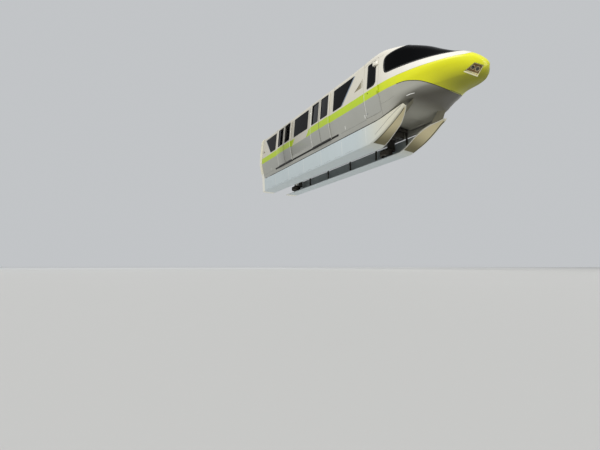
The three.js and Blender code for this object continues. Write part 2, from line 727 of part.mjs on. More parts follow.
function bogieFrame() {
  const parts = [rod("y", LOAD_WHEEL.axle, -GIRDER_Y[1], GIRDER_Y[1], 0, LOAD_WHEEL.radius, 20)];
  const { half, near, far, low, top } = SIDE_BEAM;
  for (const { s } of SIDES) {
    const girderY = GIRDER_Y.map((y) => s * y).sort((a, b) => a - b);
    parts.push(sidePrism(GIRDER, ...girderY));
    parts.push(sideBox(s, -half, half, near, far, low, top));
    parts.push(sideBox(s, -LEG.half, LEG.half, near, LEG.y, low, top));
    parts.push(sideBox(s, -LEG.half, LEG.half, LEG.y - 55, LEG.y, LEG.low, low));
    parts.push(sideBox(s, -LEG.half, LEG.half, 500, LEG.y, LEG.low, LEG.shelf));
    parts.push(rod("z", GUIDE_WHEEL.pin, STABLE_Z - PIN_REACH, LEG.shelf, 0, s * GUIDE_Y, 12));
    for (const { e } of ENDS) {
      const crossX = [e * CROSS_BEAM.x - CROSS_BEAM.half, e * CROSS_BEAM.x + CROSS_BEAM.half];
      parts.push(rod("z", GUIDE_WHEEL.pin, GUIDE_Z - PIN_REACH, low, e * GUIDE_SPREAD, s * GUIDE_Y, 12));
      parts.push(rod("z", BEARER.radius, top - 5, SILL.low - SEAM, e * BEARER.x, s * BEARER.y, 12));
      parts.push(sideBox(s, ...crossX, near, CROSS_BEAM.y, low, CROSS_BEAM.low + 20));
      parts.push(sideBox(s, ...crossX, 0, CROSS_BEAM.y, CROSS_BEAM.low, CROSS_BEAM.top));
    }
  }
  return join(...parts);
}

function makeBogies() {
  for (const { end, e } of ENDS) {
    const c = e * BOGIE_X;
    add(`bogie_frame_${end}`, "frame", bogieFrame().translate([c, 0, 0]));
    const motor = box(-MOTOR.half, MOTOR.half, GIRDER_Y[1] + SEAM, MOTOR.far, MOTOR.low, MOTOR.top);
    add(`drive_motor_${end}`, "motor", motor.translate([c, 0, 0]));
    add(`load_wheel_${end}`, "tyre", loadWheel().translate([c, 0, LOAD_WHEEL.radius]));
    for (const { side, s } of SIDES) {
      for (const [place, x] of [["a", -GUIDE_SPREAD], ["b", GUIDE_SPREAD]]) {
        const wheel = guideWheel().translate([c + x, s * GUIDE_Y, GUIDE_Z]);
        add(`guide_wheel_${end}_${side}_${place}`, "tyre", wheel);
      }
      add(`stable_wheel_${end}_${side}`, "tyre", guideWheel().translate([c, s * GUIDE_Y, STABLE_Z]));
    }
  }
}

// Sliding door leaves: a pair over each doorway, each with a runner in the slot below
const LEAVES = [
  { half: "inner", from: 920, to: 1617.5, window: [1021, 1522], runner: [1180, 1500] },
  { half: "outer", from: 1622.5, to: 2320, window: [1721, 2235], runner: [1760, 2080] },
];
const LEAF_NEAR = 1075; // the leaves and runners lie outside this half-width
const LEAVES_END = 2400;
const RUNNER = { gap: 0.5, reach: 34, proud: 6 };

function leafLayer(from, to) {
  return bodyForm(to, -LEAVES_END, LEAVES_END).subtract(bodyForm(from, -LEAVES_END - 50, LEAVES_END + 50));
}

function makeDoors() {
  const skin = leafLayer(LEAF.gap, LEAF.gap + LEAF.thick);
  const track = leafLayer(-RUNNER.reach, LEAF.gap + RUNNER.proud);
  const runnerZ = [SLOT.low + RUNNER.gap, SLOT.top - RUNNER.gap];
  for (const { side, s } of SIDES) {
    for (const { end, e } of ENDS) {
      const span = (a, b) => [e * a, e * b].sort((p, q) => p - q);
      for (const leaf of LEAVES) {
        const area = sideBox(s, ...span(leaf.from, leaf.to), LEAF_NEAR, FAR, LEAF.low, LEAF.top);
        const window = sideBox(s, ...span(...leaf.window), 0, FAR, WINDOW_LOW_Z, WINDOW_TOP_Z);
        const runner = track.intersect(sideBox(s, ...span(...leaf.runner), LEAF_NEAR, FAR, ...runnerZ));
        add(`door_${side}_${end}_${leaf.half}`, "body", join(skin.intersect(area).subtract(window), runner));
      }
    }
  }
}

makeSaloon();
makeCab();
makeCabInside();
makeEndBand();
makeSkirts();
makeUnderframe();
makeSkirtRacks();
makeBenches();
makeBogies();
makeDoors();

export default group;
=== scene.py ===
"""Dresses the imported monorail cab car: panels, livery, glass, cab, skirts, doors and running gear."""

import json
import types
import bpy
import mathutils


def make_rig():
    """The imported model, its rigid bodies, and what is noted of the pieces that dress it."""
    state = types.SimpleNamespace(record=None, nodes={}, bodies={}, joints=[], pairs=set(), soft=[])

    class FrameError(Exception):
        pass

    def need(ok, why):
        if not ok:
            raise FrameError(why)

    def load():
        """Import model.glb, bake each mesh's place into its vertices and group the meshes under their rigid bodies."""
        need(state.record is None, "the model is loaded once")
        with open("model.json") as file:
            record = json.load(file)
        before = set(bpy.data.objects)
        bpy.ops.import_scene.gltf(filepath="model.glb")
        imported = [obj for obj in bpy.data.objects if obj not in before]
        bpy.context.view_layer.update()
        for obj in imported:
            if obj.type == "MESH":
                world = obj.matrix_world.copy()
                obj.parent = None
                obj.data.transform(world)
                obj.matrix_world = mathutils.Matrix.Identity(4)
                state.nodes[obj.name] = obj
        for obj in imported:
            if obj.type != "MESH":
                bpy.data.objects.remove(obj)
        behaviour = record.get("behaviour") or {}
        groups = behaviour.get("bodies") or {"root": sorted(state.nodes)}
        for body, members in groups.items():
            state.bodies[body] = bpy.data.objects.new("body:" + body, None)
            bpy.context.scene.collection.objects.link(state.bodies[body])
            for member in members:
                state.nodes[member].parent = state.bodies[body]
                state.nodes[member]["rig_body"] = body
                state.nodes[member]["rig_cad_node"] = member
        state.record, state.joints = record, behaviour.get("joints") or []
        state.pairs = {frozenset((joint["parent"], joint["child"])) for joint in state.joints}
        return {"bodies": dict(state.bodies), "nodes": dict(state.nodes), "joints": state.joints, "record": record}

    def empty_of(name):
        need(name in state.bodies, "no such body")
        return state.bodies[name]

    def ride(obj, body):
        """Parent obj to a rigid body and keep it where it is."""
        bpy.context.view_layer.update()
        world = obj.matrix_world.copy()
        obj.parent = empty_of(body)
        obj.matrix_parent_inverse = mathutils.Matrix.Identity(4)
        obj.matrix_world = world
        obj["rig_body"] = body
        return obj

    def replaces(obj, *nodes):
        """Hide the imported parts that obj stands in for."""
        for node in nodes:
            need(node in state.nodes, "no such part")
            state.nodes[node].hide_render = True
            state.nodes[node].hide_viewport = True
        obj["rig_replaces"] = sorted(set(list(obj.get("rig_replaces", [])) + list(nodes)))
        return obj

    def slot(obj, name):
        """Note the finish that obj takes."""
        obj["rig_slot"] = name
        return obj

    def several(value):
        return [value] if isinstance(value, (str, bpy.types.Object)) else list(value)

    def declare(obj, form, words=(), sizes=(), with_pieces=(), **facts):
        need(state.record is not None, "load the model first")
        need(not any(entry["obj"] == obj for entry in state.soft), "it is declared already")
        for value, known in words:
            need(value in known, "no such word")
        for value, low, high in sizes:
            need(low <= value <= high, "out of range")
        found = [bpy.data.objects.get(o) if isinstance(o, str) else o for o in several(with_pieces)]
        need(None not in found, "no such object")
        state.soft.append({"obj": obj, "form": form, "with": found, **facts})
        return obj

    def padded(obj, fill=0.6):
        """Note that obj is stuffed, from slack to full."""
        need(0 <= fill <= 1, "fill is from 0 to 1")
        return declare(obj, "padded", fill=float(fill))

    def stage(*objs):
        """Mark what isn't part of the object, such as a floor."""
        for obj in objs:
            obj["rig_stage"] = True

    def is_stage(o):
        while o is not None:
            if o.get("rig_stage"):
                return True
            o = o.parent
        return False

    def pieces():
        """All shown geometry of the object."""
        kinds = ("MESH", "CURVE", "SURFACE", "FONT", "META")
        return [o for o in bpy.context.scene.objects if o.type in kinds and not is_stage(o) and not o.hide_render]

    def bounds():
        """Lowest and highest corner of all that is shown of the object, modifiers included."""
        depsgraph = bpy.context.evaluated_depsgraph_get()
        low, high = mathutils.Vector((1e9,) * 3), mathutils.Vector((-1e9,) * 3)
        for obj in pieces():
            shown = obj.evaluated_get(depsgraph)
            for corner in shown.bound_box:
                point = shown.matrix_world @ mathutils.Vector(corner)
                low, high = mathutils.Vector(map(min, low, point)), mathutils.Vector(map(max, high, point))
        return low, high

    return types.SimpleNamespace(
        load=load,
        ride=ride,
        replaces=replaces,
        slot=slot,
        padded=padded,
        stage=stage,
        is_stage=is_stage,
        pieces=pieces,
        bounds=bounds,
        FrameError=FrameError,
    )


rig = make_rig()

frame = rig.load()

import json
import logging
import math
from collections.abc import Callable, Iterable, Iterator, Mapping, Sequence
from contextlib import contextmanager
from dataclasses import dataclass, field
from enum import Enum, IntEnum
from typing import ClassVar

import bmesh
import bpy
from mathutils import Matrix, Vector
from mathutils.bvhtree import BVHTree

CAD_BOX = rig.bounds()
LOG = logging.getLogger("monorail_cab_car")

Obj = bpy.types.Object
Node = bpy.types.Node
Socket = bpy.types.NodeSocket
Point2 = tuple[float, float]
Point3 = tuple[float, float, float]
Line = Sequence[Point2]

FAR = 9.0
ORIGIN = (0.0, 0.0, 0.0)


class Sign(IntEnum):
    """A way from the car's middle: its value is the sign on the axis, and its text the name in the frame."""

    def __str__(self) -> str:
        """Returns the name."""
        return self.name.lower()


class Side(Sign):
    """The sides, along Y."""

    RIGHT = -1
    LEFT = 1


class End(Sign):
    """The ends, along X."""

    REAR = -1
    FRONT = 1


def linear(hex_colour: str) -> tuple[float, float, float, float]:
    """Turns a hex colour as seen on screen into Blender's linear colour."""
    channels = [int(hex_colour[i : i + 2], 16) / 255 for i in (1, 3, 5)]
    return (*[c / 12.92 if c <= 0.04045 else ((c + 0.055) / 1.055) ** 2.4 for c in channels], 1.0)


# Finishes


class Tree:
    """A short hand for building one node tree."""

    def __init__(self, tree: bpy.types.NodeTree) -> None:
        """Keeps the tree and empties it."""
        self.tree = tree
        tree.nodes.clear()

    def node(self, kind: str, inputs: dict[str | int, object] | None = None, **settings: object) -> Node:
        """Adds a node.

        Args:
            kind: the node's bl_idname.
            inputs: socket name or number to a value, or to a socket that feeds it.
            settings: attributes of the node.

        Returns:
            The new node.
        """
        made = self.tree.nodes.new(kind)
        for name, value in settings.items():
            setattr(made, name, value)
        for key, value in (inputs or {}).items():
            if isinstance(value, Socket):
                self.tree.links.new(value, made.inputs[key])
            else:
                made.inputs[key].default_value = value
        return made

    def math(self, operation: str, *values: object, clamp: bool = False) -> Socket:
        """Adds a Math node over two or three values or sockets and returns its output."""
        made = self.node("ShaderNodeMath", dict(enumerate(values)), operation=operation, use_clamp=clamp)
        return made.outputs[0]

    def mix(self, factor: Socket, a: object, b: object) -> Socket:
        """Adds a mix of two colours and returns its colour."""
        return self.node("ShaderNodeMix", {0: factor, 6: a, 7: b}, data_type="RGBA").outputs[2]

    def axis(self, place: Socket, name: str) -> Socket:
        """Returns the X, Y or Z of a place."""
        return self.node("ShaderNodeSeparateXYZ", {0: place}).outputs[name]

    def noise(self, place: Socket, scale: object, detail: float, roughness: float = 0.5) -> Socket:
        """Adds a noise over the surface and returns its value."""
        sizes = {"Vector": place, "Scale": scale, "Detail": detail, "Roughness": roughness}
        return self.node("ShaderNodeTexNoise", sizes).outputs[0]

    def ramp(self, value: Socket, reach: tuple[object, object], ends: Point2 = (0.0, 1.0),
             smooth: bool = True) -> Socket:
        """Maps a value's reach onto a range.

        Args:
            value: what is mapped.
            reach: where the ramp begins and ends, as values or sockets.
            ends: what it gives at its two ends.
            smooth: whether it eases in and out.

        Returns:
            The ramp's value.
        """
        kind = "SMOOTHSTEP" if smooth else "LINEAR"
        sizes = dict(enumerate((value, *reach, *ends)))
        return self.node("ShaderNodeMapRange", sizes, interpolation_type=kind).outputs[0]


@dataclass(frozen=True)
class Effect:
    """A shader node group that several finishes share: its values, its outputs and its nodes' maker."""

    name: str
    inputs: Sequence[str]
    outputs: Sequence[str]
    nodes: Callable[[Tree, Mapping[str, Socket]], Sequence[Socket]]

    def group(self) -> bpy.types.NodeTree:
        """Builds the group when it is first used.

        Returns:
            The group.
        """
        if self.name in bpy.data.node_groups:
            return bpy.data.node_groups[self.name]
        group = bpy.data.node_groups.new(self.name, "ShaderNodeTree")
        group.interface.new_socket(name="Place", in_out="INPUT", socket_type="NodeSocketVector")
        for way, names in (("INPUT", self.inputs), ("OUTPUT", self.outputs)):
            for name in names:
                group.interface.new_socket(name=name, in_out=way, socket_type="NodeSocketFloat")
        t = Tree(group)
        t.node("NodeGroupOutput", dict(enumerate(self.nodes(t, t.node("NodeGroupInput").outputs))))
        return group

    def used(self, t: Tree, place: Socket, *values: float) -> Mapping[str, Socket]:
        """Places the group in a material.

        Args:
            t: the material's tree.
            place: the place on the surface.
            values: the material's own values, in the order of the group's inputs.

        Returns:
            The group's outputs by name.
        """
        own = dict(zip(self.inputs, values, strict=True))
        return t.node("ShaderNodeGroup", {"Place": place, **own}, node_tree=self.group()).outputs


def dust_nodes(t: Tree, given: Mapping[str, Socket]) -> list[Socket]:
    """Makes dust that thins out upwards, with streaks running down the sides.

    Args:
        t: the group's tree.
        given: the group's inputs.

    Returns:
        The mask.
    """
    place = given["Place"]
    low = t.ramp(t.axis(place, "Z"), (given["Low"], given["High"]), (1.0, 0.0), smooth=False)
    cloud = t.noise(place, 1.7, detail=5.0, roughness=0.62)
    squeezed = t.node("ShaderNodeMapping", {"Vector": place, "Scale": (9.0, 9.0, 0.5)})
    streak = t.noise(squeezed.outputs[0], 1.0, detail=3.0)
    both = t.math("MULTIPLY", cloud, streak)
    lifted = t.math("MULTIPLY_ADD", low, 0.75, t.math("MULTIPLY", both, 0.8))
    return [t.math("MULTIPLY", t.math("SUBTRACT", lifted, 0.2, clamp=True), given["Amount"], clamp=True)]


def grain_nodes(t: Tree, given: Mapping[str, Socket]) -> list[Socket]:
    """Makes a fine height and a slow tone, and returns both."""
    return [t.noise(given["Place"], given["Scale"], detail=3.0), t.noise(given["Place"], 0.9, detail=2.0)]


def stripe_nodes(t: Tree, given: Mapping[str, Socket]) -> list[Socket]:
    """Makes the waist stripe, broken in the middle of the car with slanted ends.

    Args:
        t: the group's tree.
        given: the group's inputs.

    Returns:
        The stripe's mask, and the mask of what lies below it.
    """
    x, z = t.axis(given["Place"], "X"), t.axis(given["Place"], "Z")
    dip = t.ramp(x, (5.0, 5.9), (0.0, 0.016), smooth=False)
    above = t.math("GREATER_THAN", z, given["Low"])
    below = t.math("LESS_THAN", t.math("ADD", z, dip), given["Top"])
    below = t.math("MULTIPLY", below, t.math("LESS_THAN", x, given["Front"]))
    lean = t.math("MULTIPLY", t.math("SUBTRACT", z, given["Low"]), given["Slant"])
    gap = t.math("COMPARE", t.math("SUBTRACT", x, lean), given["Gap Middle"], given["Gap Half"])
    solid = t.math("SUBTRACT", 1.0, gap)
    return [t.math("MULTIPLY", t.math("MULTIPLY", above, below), solid), t.math("SUBTRACT", 1.0, above)]


def zone_nodes(t: Tree, given: Mapping[str, Socket]) -> list[Socket]:
    """Makes the mask of a painted light or shade tint, which fades in ahead of a place along the car and below a
    height.

    Args:
        t: the group's tree.
        given: the group's inputs.

    Returns:
        The mask.
    """
    ahead = t.ramp(t.axis(given["Place"], "X"), (given["Back"], given["Front"]))
    below = t.ramp(t.axis(given["Place"], "Z"), (given["Low"], given["High"]), (1.0, 0.0))
    return [t.math("MULTIPLY", t.math("MULTIPLY", ahead, below), given["Amount"], clamp=True)]


DUST = Effect("weather_dust", ("Low", "High", "Amount"), ("Mask",), dust_nodes)
GRAIN = Effect("fine_grain", ("Scale",), ("Height", "Tone"), grain_nodes)
STRIPE = Effect("waist_stripe", ("Low", "Top", "Slant", "Front", "Gap Middle", "Gap Half"), ("Mask", "Lower"),
                stripe_nodes)
# The tint of painted light or shade that some finishes carry.
FRONT_PAINTED_LIGHT = Effect("front_zone", ("Back", "Front", "Low", "High", "Amount"), ("Mask",), zone_nodes)


@dataclass(frozen=True)
class Coating:
    """What every finish has: a name, a colour as seen on screen, and a material that is built once."""

    name: str
    colour: str
    solid: ClassVar[float] = 1.0

    def shader(self, t: Tree, place: Socket) -> Node:
        """Makes the finish's nodes and returns its shader."""
        raise NotImplementedError

    def material(self) -> bpy.types.Material:
        """Builds the material, or finds the one that was built before.

        Returns:
            The material.
        """
        known = bpy.data.materials.get(self.name)
        if known:
            return known
        made = bpy.data.materials.new(self.name)
        made.use_nodes = True
        made.diffuse_color = (*linear(self.colour)[:3], self.solid)
        t = Tree(made.node_tree)
        shader = self.shader(t, t.node("ShaderNodeTexCoord").outputs["Object"])
        t.node("ShaderNodeOutputMaterial", {"Surface": shader.outputs[0]})
        return made


@dataclass(frozen=True)
class Zone:
    """A tint of painted light or shade over the part of a finish that lies ahead of a place and below a height."""

    colour: str
    along: Point2
    height: Point2 = (8.0, 9.0)
    amount: float = 1.0


@dataclass(frozen=True)
class Finish(Coating):
    """A plain finish: one colour that varies slightly, with grain, and dust low down."""

    roughness: float = 0.5
    metallic: float = 0.0
    coat: float = 0.0
    grain_scale: float = 60.0
    grain_height: float = 0.02
    tone: float = 0.06
    dust: float = 0.25
    dust_colour: str = "#8C8472"
    dust_reach: Point2 = (-1.0, 1.4)
    dust_rough: float = 0.35
    rough_swing: float = 0.12
    coat_roughness: float = 0.08
    sheen: float = 0.0
    zone: Zone | None = None

    def base(self, t: Tree, place: Socket) -> object:
        """Returns the colour, or the socket that gives it, before tone and dust."""
        return linear(self.colour)[:3]

    def shader(self, t: Tree, place: Socket) -> Node:
        """Makes the nodes of colour, roughness and grain.

        Args:
            t: the material's tree.
            place: the place on the surface.

        Returns:
            The shader.
        """
        grain = GRAIN.used(t, place, self.grain_scale)
        dust = DUST.used(t, place, *self.dust_reach, self.dust)["Mask"]
        shade = t.math("MULTIPLY_ADD", t.math("SUBTRACT", grain["Tone"], 0.5), 2.0 * self.tone, 1.0)
        toned = t.node("ShaderNodeVectorMath", {0: self.base(t, place), "Scale": shade}, operation="SCALE")
        colour = t.mix(dust, toned.outputs[0], linear(self.dust_colour))
        # Painted light or shade: a tint over the part ahead of a place and below a height.
        if self.zone:
            mask = FRONT_PAINTED_LIGHT.used(t, place, *self.zone.along, *self.zone.height, self.zone.amount)["Mask"]
            colour = t.mix(mask, colour, linear(self.zone.colour))
        rough = t.math("MULTIPLY_ADD", grain["Tone"], self.rough_swing, self.roughness - self.rough_swing / 2)
        rough = t.math("MULTIPLY_ADD", dust, self.dust_rough, rough, clamp=True)
        bump = t.node("ShaderNodeBump", {"Height": grain["Height"], "Distance": 0.01,
                                         "Strength": self.grain_height})
        return t.node("ShaderNodeBsdfPrincipled", {
            "Base Color": colour, "Roughness": rough, "Normal": bump.outputs[0], "Metallic": self.metallic,
            "Coat Weight": self.coat, "Coat Roughness": self.coat_roughness, "Sheen Weight": self.sheen})


@dataclass(frozen=True)
class StripedPaint(Finish):
    """Body paint in three bands: warm white above, the lime stripe, and a cooler pale grey below it that is partly the
    paint's own tone and partly painted shade on the down-facing lower body.
    """

    bright: str = "#F1ECE0"
    stripe: str = "#C0DA16"
    ahead: str = "#EFEE06"
    turn: Point2 = (4.2, 6.8)
    # Partly the paint's own grey and partly painted shade.
    lower: str = "#B2B2A9"
    low: float = 0.62
    top: float = 0.92
    slant: float = 0.9
    front: float = 5.9
    gap: Point2 = (0.0, 0.0)

    def base(self, t: Tree, place: Socket) -> Socket:
        """Makes the bands.

        Args:
            t: the material's tree.
            place: the place on the surface.

        Returns:
            The socket that gives the banded colour.
        """
        bands = STRIPE.used(t, place, self.low, self.top, self.slant, self.front, *self.gap)
        turn = t.ramp(t.axis(place, "X"), self.turn)
        stripe = t.mix(turn, linear(self.stripe), linear(self.ahead))
        plain = t.mix(turn, linear(self.colour), linear(self.bright))
        return t.mix(bands["Lower"], t.mix(bands["Mask"], plain, stripe), linear(self.lower))


@dataclass(frozen=True)
class TintedGlass(Coating):
    """Dark tinted glazing, with its tint as the transmission colour."""

    roughness: float = 0.02
    transmission: float = 0.92
    ior: float = 1.18
    smear: float = 0.05
    solid: ClassVar[float] = 0.5

    def shader(self, t: Tree, place: Socket) -> Node:
        """Makes the nodes of a pane that is slightly smeared.

        Args:
            t: the material's tree.
            place: the place on the surface.

        Returns:
            The shader.
        """
        rough = t.math("MULTIPLY_ADD", t.noise(place, 2.3, detail=4.0), self.smear, self.roughness)
        return t.node("ShaderNodeBsdfPrincipled", {"Base Color": linear(self.colour), "Roughness": rough,
                                                   "IOR": self.ior, "Transmission Weight": self.transmission})


class Paint(Enum):
    """The finishes of this car."""

    # White for the strips, latches and joints, and for painted highlights and glints.
    BRIGHT = Finish("white_edge_strip", "#F2F1EA", 0.35, coat=0.3, dust=0.05)
    # Olive for the nose's border line, and painted shade on the lamp recesses' rims.
    LINE = Finish("olive_border_line", "#8E9410", 0.5, dust=0.05)
    BODY = StripedPaint("warm_white_striped_paint", "#DAD4C4", 0.42, coat=0.2, gap=(-0.125, 0.625))
    CAB = StripedPaint("warm_white_cab_paint", "#DAD4C4", 0.42, coat=0.2)
    # The nose darkens to olive towards its underside: painted shade.
    NOSE = StripedPaint("lime_yellow_nose_paint", "#EFEE06", 0.4, coat=0.12, dust=0.05, low=-FAR, top=FAR,
                        front=FAR, zone=Zone("#5E5E10", (6.4, 7.6), (0.12, 0.62), 0.75))
    # The bow darkens to dark brown underneath near the nose: painted shade.
    LOWER = Finish("pale_grey_bow_paint", "#B4B3A8", 0.45, coat=0.12,
                   zone=Zone("#3D3828", (5.4, 6.5), (0.1, 0.42), 0.9))
    # The skirt's blue tint is a painted sky reflection, and its warm cream front is painted sunlight.
    SKIRT = Finish("cool_white_skirt_paint", "#D3DEE0", 0.44, coat=0.15, dust=0.15,
                   zone=Zone("#E6DFC4", (3.6, 5.6), amount=0.85))
    # The return's face is painted shade at the back, turning to painted warm bounce light towards the tip.
    RETURN = Finish("beige_skirt_return", "#6E6640", 0.5, dust=0.1, zone=Zone("#E0D3A8", (4.7, 5.5)))
    STAY = Finish("olive_grey_stay", "#77735F", 0.55, tone=0.1, dust=0.1)
    CREASE = Finish("dark_skirt_crease", "#55512F", 0.6, dust=0.1)
    BAND = Finish("cream_band_rubber", "#FBF8EA", 0.55, grain_scale=120, grain_height=0.05, dust=0.06)
    FOLD = Finish("shaded_band_fold", "#B9B494", 0.6, dust=0.1)
    BAR = Finish("grey_blue_window_bar", "#8E9AA8", 0.4, 0.2, dust=0.05)
    CHASSIS = Finish("dark_chassis_paint", "#2A2B2C", 0.62, 0.2, grain_scale=180, grain_height=0.08, dust=0.4)
    MOTOR = Finish("grey_motor_casting", "#4A4E52", 0.5, 0.5, grain_scale=220, grain_height=0.12, dust=0.35)
    TYRE = Finish("black_tyre_rubber", "#171718", 0.8, grain_scale=260, grain_height=0.1, dust=0.3)
    HUB = Finish("grey_hub_metal", "#8A8D8F", 0.42, 0.85, grain_scale=90, dust=0.3)
    # Black for the gaskets and seals, and for painted shade in the door slot and at the leaves' feet.
    GASKET = Finish("black_window_gasket", "#0E0E0F", 0.55, grain_scale=200, grain_height=0.04, dust=0.1)
    LIP = Finish("cream_lamp_lip", "#F6EFC6", 0.35, coat=0.3, dust=0.0)
    BOWL = Finish("warm_lamp_panel", "#8A6E46", 0.3, 0.4, tone=0.4, grain_scale=30, grain_height=0.2,
                  dust=0.05)
    BEZEL = Finish("pale_lamp_bezel", "#DCCFAE", 0.25, coat=0.4, dust=0.0)
    LENS = Finish("dark_lamp_lens", "#2B2722", 0.12, coat=0.8, dust=0.05)
    MESH = Finish("tan_intake_lining", "#8F866C", 0.6, tone=0.12, dust=0.3)
    SCREEN = Finish("console_screen_glass", "#0B1216", 0.15, coat=0.6, dust=0.02)
    TRIM = Finish("brushed_trim_metal", "#A9ACAE", 0.3, 0.95, grain_scale=150, dust=0.1)
    SEAM = Finish("shadow_gap_grey", "#6D6C68", 0.7, dust=0.3)
    FLOOR = Finish("saloon_floor_vinyl", "#5C5F60", 0.6, grain_scale=300, grain_height=0.05, dust=0.1)
    LINING = Finish("saloon_lining_plastic", "#8F8E88", 0.55, grain_scale=140, dust=0.05)
    CUSHION = Finish("blue_seat_moquette", "#2F4468", 0.9, grain_scale=420, grain_height=0.3, sheen=0.4,
                     dust=0.05)
    GLASS = TintedGlass("dark_side_glass", "#0D0F12", 0.02, 0.7)
    WINDSHIELD = TintedGlass("black_windshield_glass", "#07080A", 0.015, 0.6, 1.14)


# Mesh helpers


def linked(name: str, data: bpy.types.ID) -> Obj:
    """Makes an object of a mesh, a light or a camera, in the scene.

    Args:
        name: the object's name.
        data: what it is made of.

    Returns:
        The object, at the origin.
    """
    made = bpy.data.objects.new(name, data)
    bpy.context.scene.collection.objects.link(made)
    return made


def new_object(name: str, verts: Iterable[Iterable[float]], faces: Iterable[Iterable[int]]) -> Obj:
    """Makes a mesh object from points in the car's frame.

    Args:
        name: the object's name.
        verts: points in metres.
        faces: rows of point numbers.

    Returns:
        The object.
    """
    mesh = bpy.data.meshes.new(name)
    mesh.from_pydata([tuple(v) for v in verts], [], [tuple(f) for f in faces])
    mesh.validate()
    return linked(name, mesh)


@contextmanager
def edited(obj: Obj) -> Iterator[bmesh.types.BMesh]:
    """Opens an object's mesh, and writes it back afterwards.

    Args:
        obj: the object.

    Yields:
        The open mesh.
    """
    bm = bmesh.new()
    bm.from_mesh(obj.data)
    yield bm
    bm.to_mesh(obj.data)
    bm.free()


def outward(obj: Obj) -> Obj:
    """Merges doubles and turns every face outward.

    Args:
        obj: the object.

    Returns:
        The same object.
    """
    with edited(obj) as bm:
        bmesh.ops.remove_doubles(bm, verts=bm.verts, dist=1e-5)
        bmesh.ops.recalc_face_normals(bm, faces=bm.faces)
    return obj


def smoothed(obj: Obj, angle: float = 30.0) -> Obj:
    """Shades the mesh smooth, apart from its sharp edges.

    Args:
        obj: the object.
        angle: the angle in degrees from which an edge is sharp.

    Returns:
        The same object.
    """
    for polygon in obj.data.polygons:
        polygon.use_smooth = True
    obj.data.set_sharp_from_angle(angle=math.radians(angle))
    return obj


def baked(obj: Obj) -> Obj:
    """Turns the object's modifiers into plain mesh.

    Args:
        obj: the object.

    Returns:
        The same object.
    """
    old = obj.data
    graph = bpy.context.evaluated_depsgraph_get()
    obj.data = bpy.data.meshes.new_from_object(obj.evaluated_get(graph))
    obj.modifiers.clear()
    bpy.data.meshes.remove(old)
    return obj


def copied(obj: Obj) -> Obj:
    """Returns a copy of the object with a mesh of its own."""
    return linked("copy", obj.data.copy())


def dropped(*tools: Obj) -> None:
    """Removes objects that were only tools.

    Args:
        tools: the objects.
    """
    for tool in tools:
        mesh = tool.data
        bpy.data.objects.remove(tool)
        bpy.data.meshes.remove(mesh)


def carve(obj: Obj, tool: Obj, operation: str = "DIFFERENCE") -> Obj:
    """Cuts, keeps or joins by a closed tool.

    Args:
        obj: what is carved.
        tool: the tool, used up.
        operation: the Boolean's operation.

    Returns:
        The carved object.
    """
    cut = obj.modifiers.new("carve", "BOOLEAN")
    cut.object = tool
    cut.operation = operation
    cut.solver = "MANIFOLD"
    baked(obj)
    dropped(tool)
    return obj


def merged(pieces: Sequence[Obj]) -> Obj:
    """Puts several meshes into one object.

    Args:
        pieces: the objects, used up.

    Returns:
        The new object.
    """
    made = new_object("merged", [], [])
    with edited(made) as bm:
        for piece in pieces:
            bm.from_mesh(piece.data)
    dropped(*pieces)
    return made


def prism(points: Line, low: float, high: float, axis: str = "Y") -> Obj:
    """Makes a straight tool over an outline.

    Args:
        points: the outline as (x, z) for axis Y, (x, y) for axis Z, or (y, z) for axis X.
        low: where the tool starts along the axis.
        high: where it ends.
        axis: the way it runs.

    Returns:
        The closed tool.
    """
    ends = []
    for d in (low, high):
        ends += {"X": [(d, a, b) for a, b in points], "Y": [(a, d, b) for a, b in points],
                 "Z": [(a, b, d) for a, b in points]}[axis]
    count = len(points)
    faces = [range(count), range(2 * count - 1, count - 1, -1)]
    faces += [(i, (i + 1) % count, count + (i + 1) % count, count + i) for i in range(count)]
    return outward(new_object("prism", ends, faces))


def across(s: Side, near: float = 0.0) -> Point2:
    """Returns the range across the car on one side, from near outward."""
    return (min(s * near, s * FAR), max(s * near, s * FAR))


def punch(points: Line, s: Side, near: float = 0.0) -> Obj:
    """Makes the tool that cuts or keeps a side view outline on one side of the car."""
    return prism(points, *across(s, near))


def block(x: Point2, y: Point2, z: Point2) -> Obj:
    """Makes a box tool from three ranges, each either way round."""
    return prism(window(min(x), max(x), min(z), max(z)), min(y), max(y))


def window(x0: float, x1: float, z0: float, z1: float) -> list[Point2]:
    """Returns a rectangle in side view."""
    return [(x0, z0), (x1, z0), (x1, z1), (x0, z1)]


def vertical(x: float, low: float, top: float, step: float = 0.08) -> list[Point2]:
    """Returns points up a straight line in side view, about a step apart."""
    count = max(2, round((top - low) / step))
    return [(x, low + (top - low) * i / count) for i in range(count + 1)]


def arc(start: Vector, corner: Vector, end: Vector, steps: int) -> list[Point2]:
    """Works out a curve that bends towards a corner.

    Args:
        start: its first point.
        corner: the corner.
        end: its last point.
        steps: how many pieces it has.

    Returns:
        The curve's points.
    """
    made = [start * (1 - t) ** 2 + corner * (2 * t * (1 - t)) + end * t * t
            for t in (k / steps for k in range(steps + 1))]
    return [(p.x, p.y) for p in made]


def rounded(points: Line, radius: float, steps: int = 5) -> list[Point2]:
    """Rounds every corner of a closed outline.

    Args:
        points: the outline's corners.
        radius: how far from each corner the curve starts, at most.
        steps: pieces in each corner's curve.

    Returns:
        The outline with curved corners.
    """
    made: list[Point2] = []
    for i, corner in enumerate(points):
        a, b, c = Vector(points[i - 1]), Vector(corner), Vector(points[(i + 1) % len(points)])
        reach = min(radius, (a - b).length * 0.45, (c - b).length * 0.45)
        made += arc(b + (a - b).normalized() * reach, b, b + (c - b).normalized() * reach, steps)
    return made


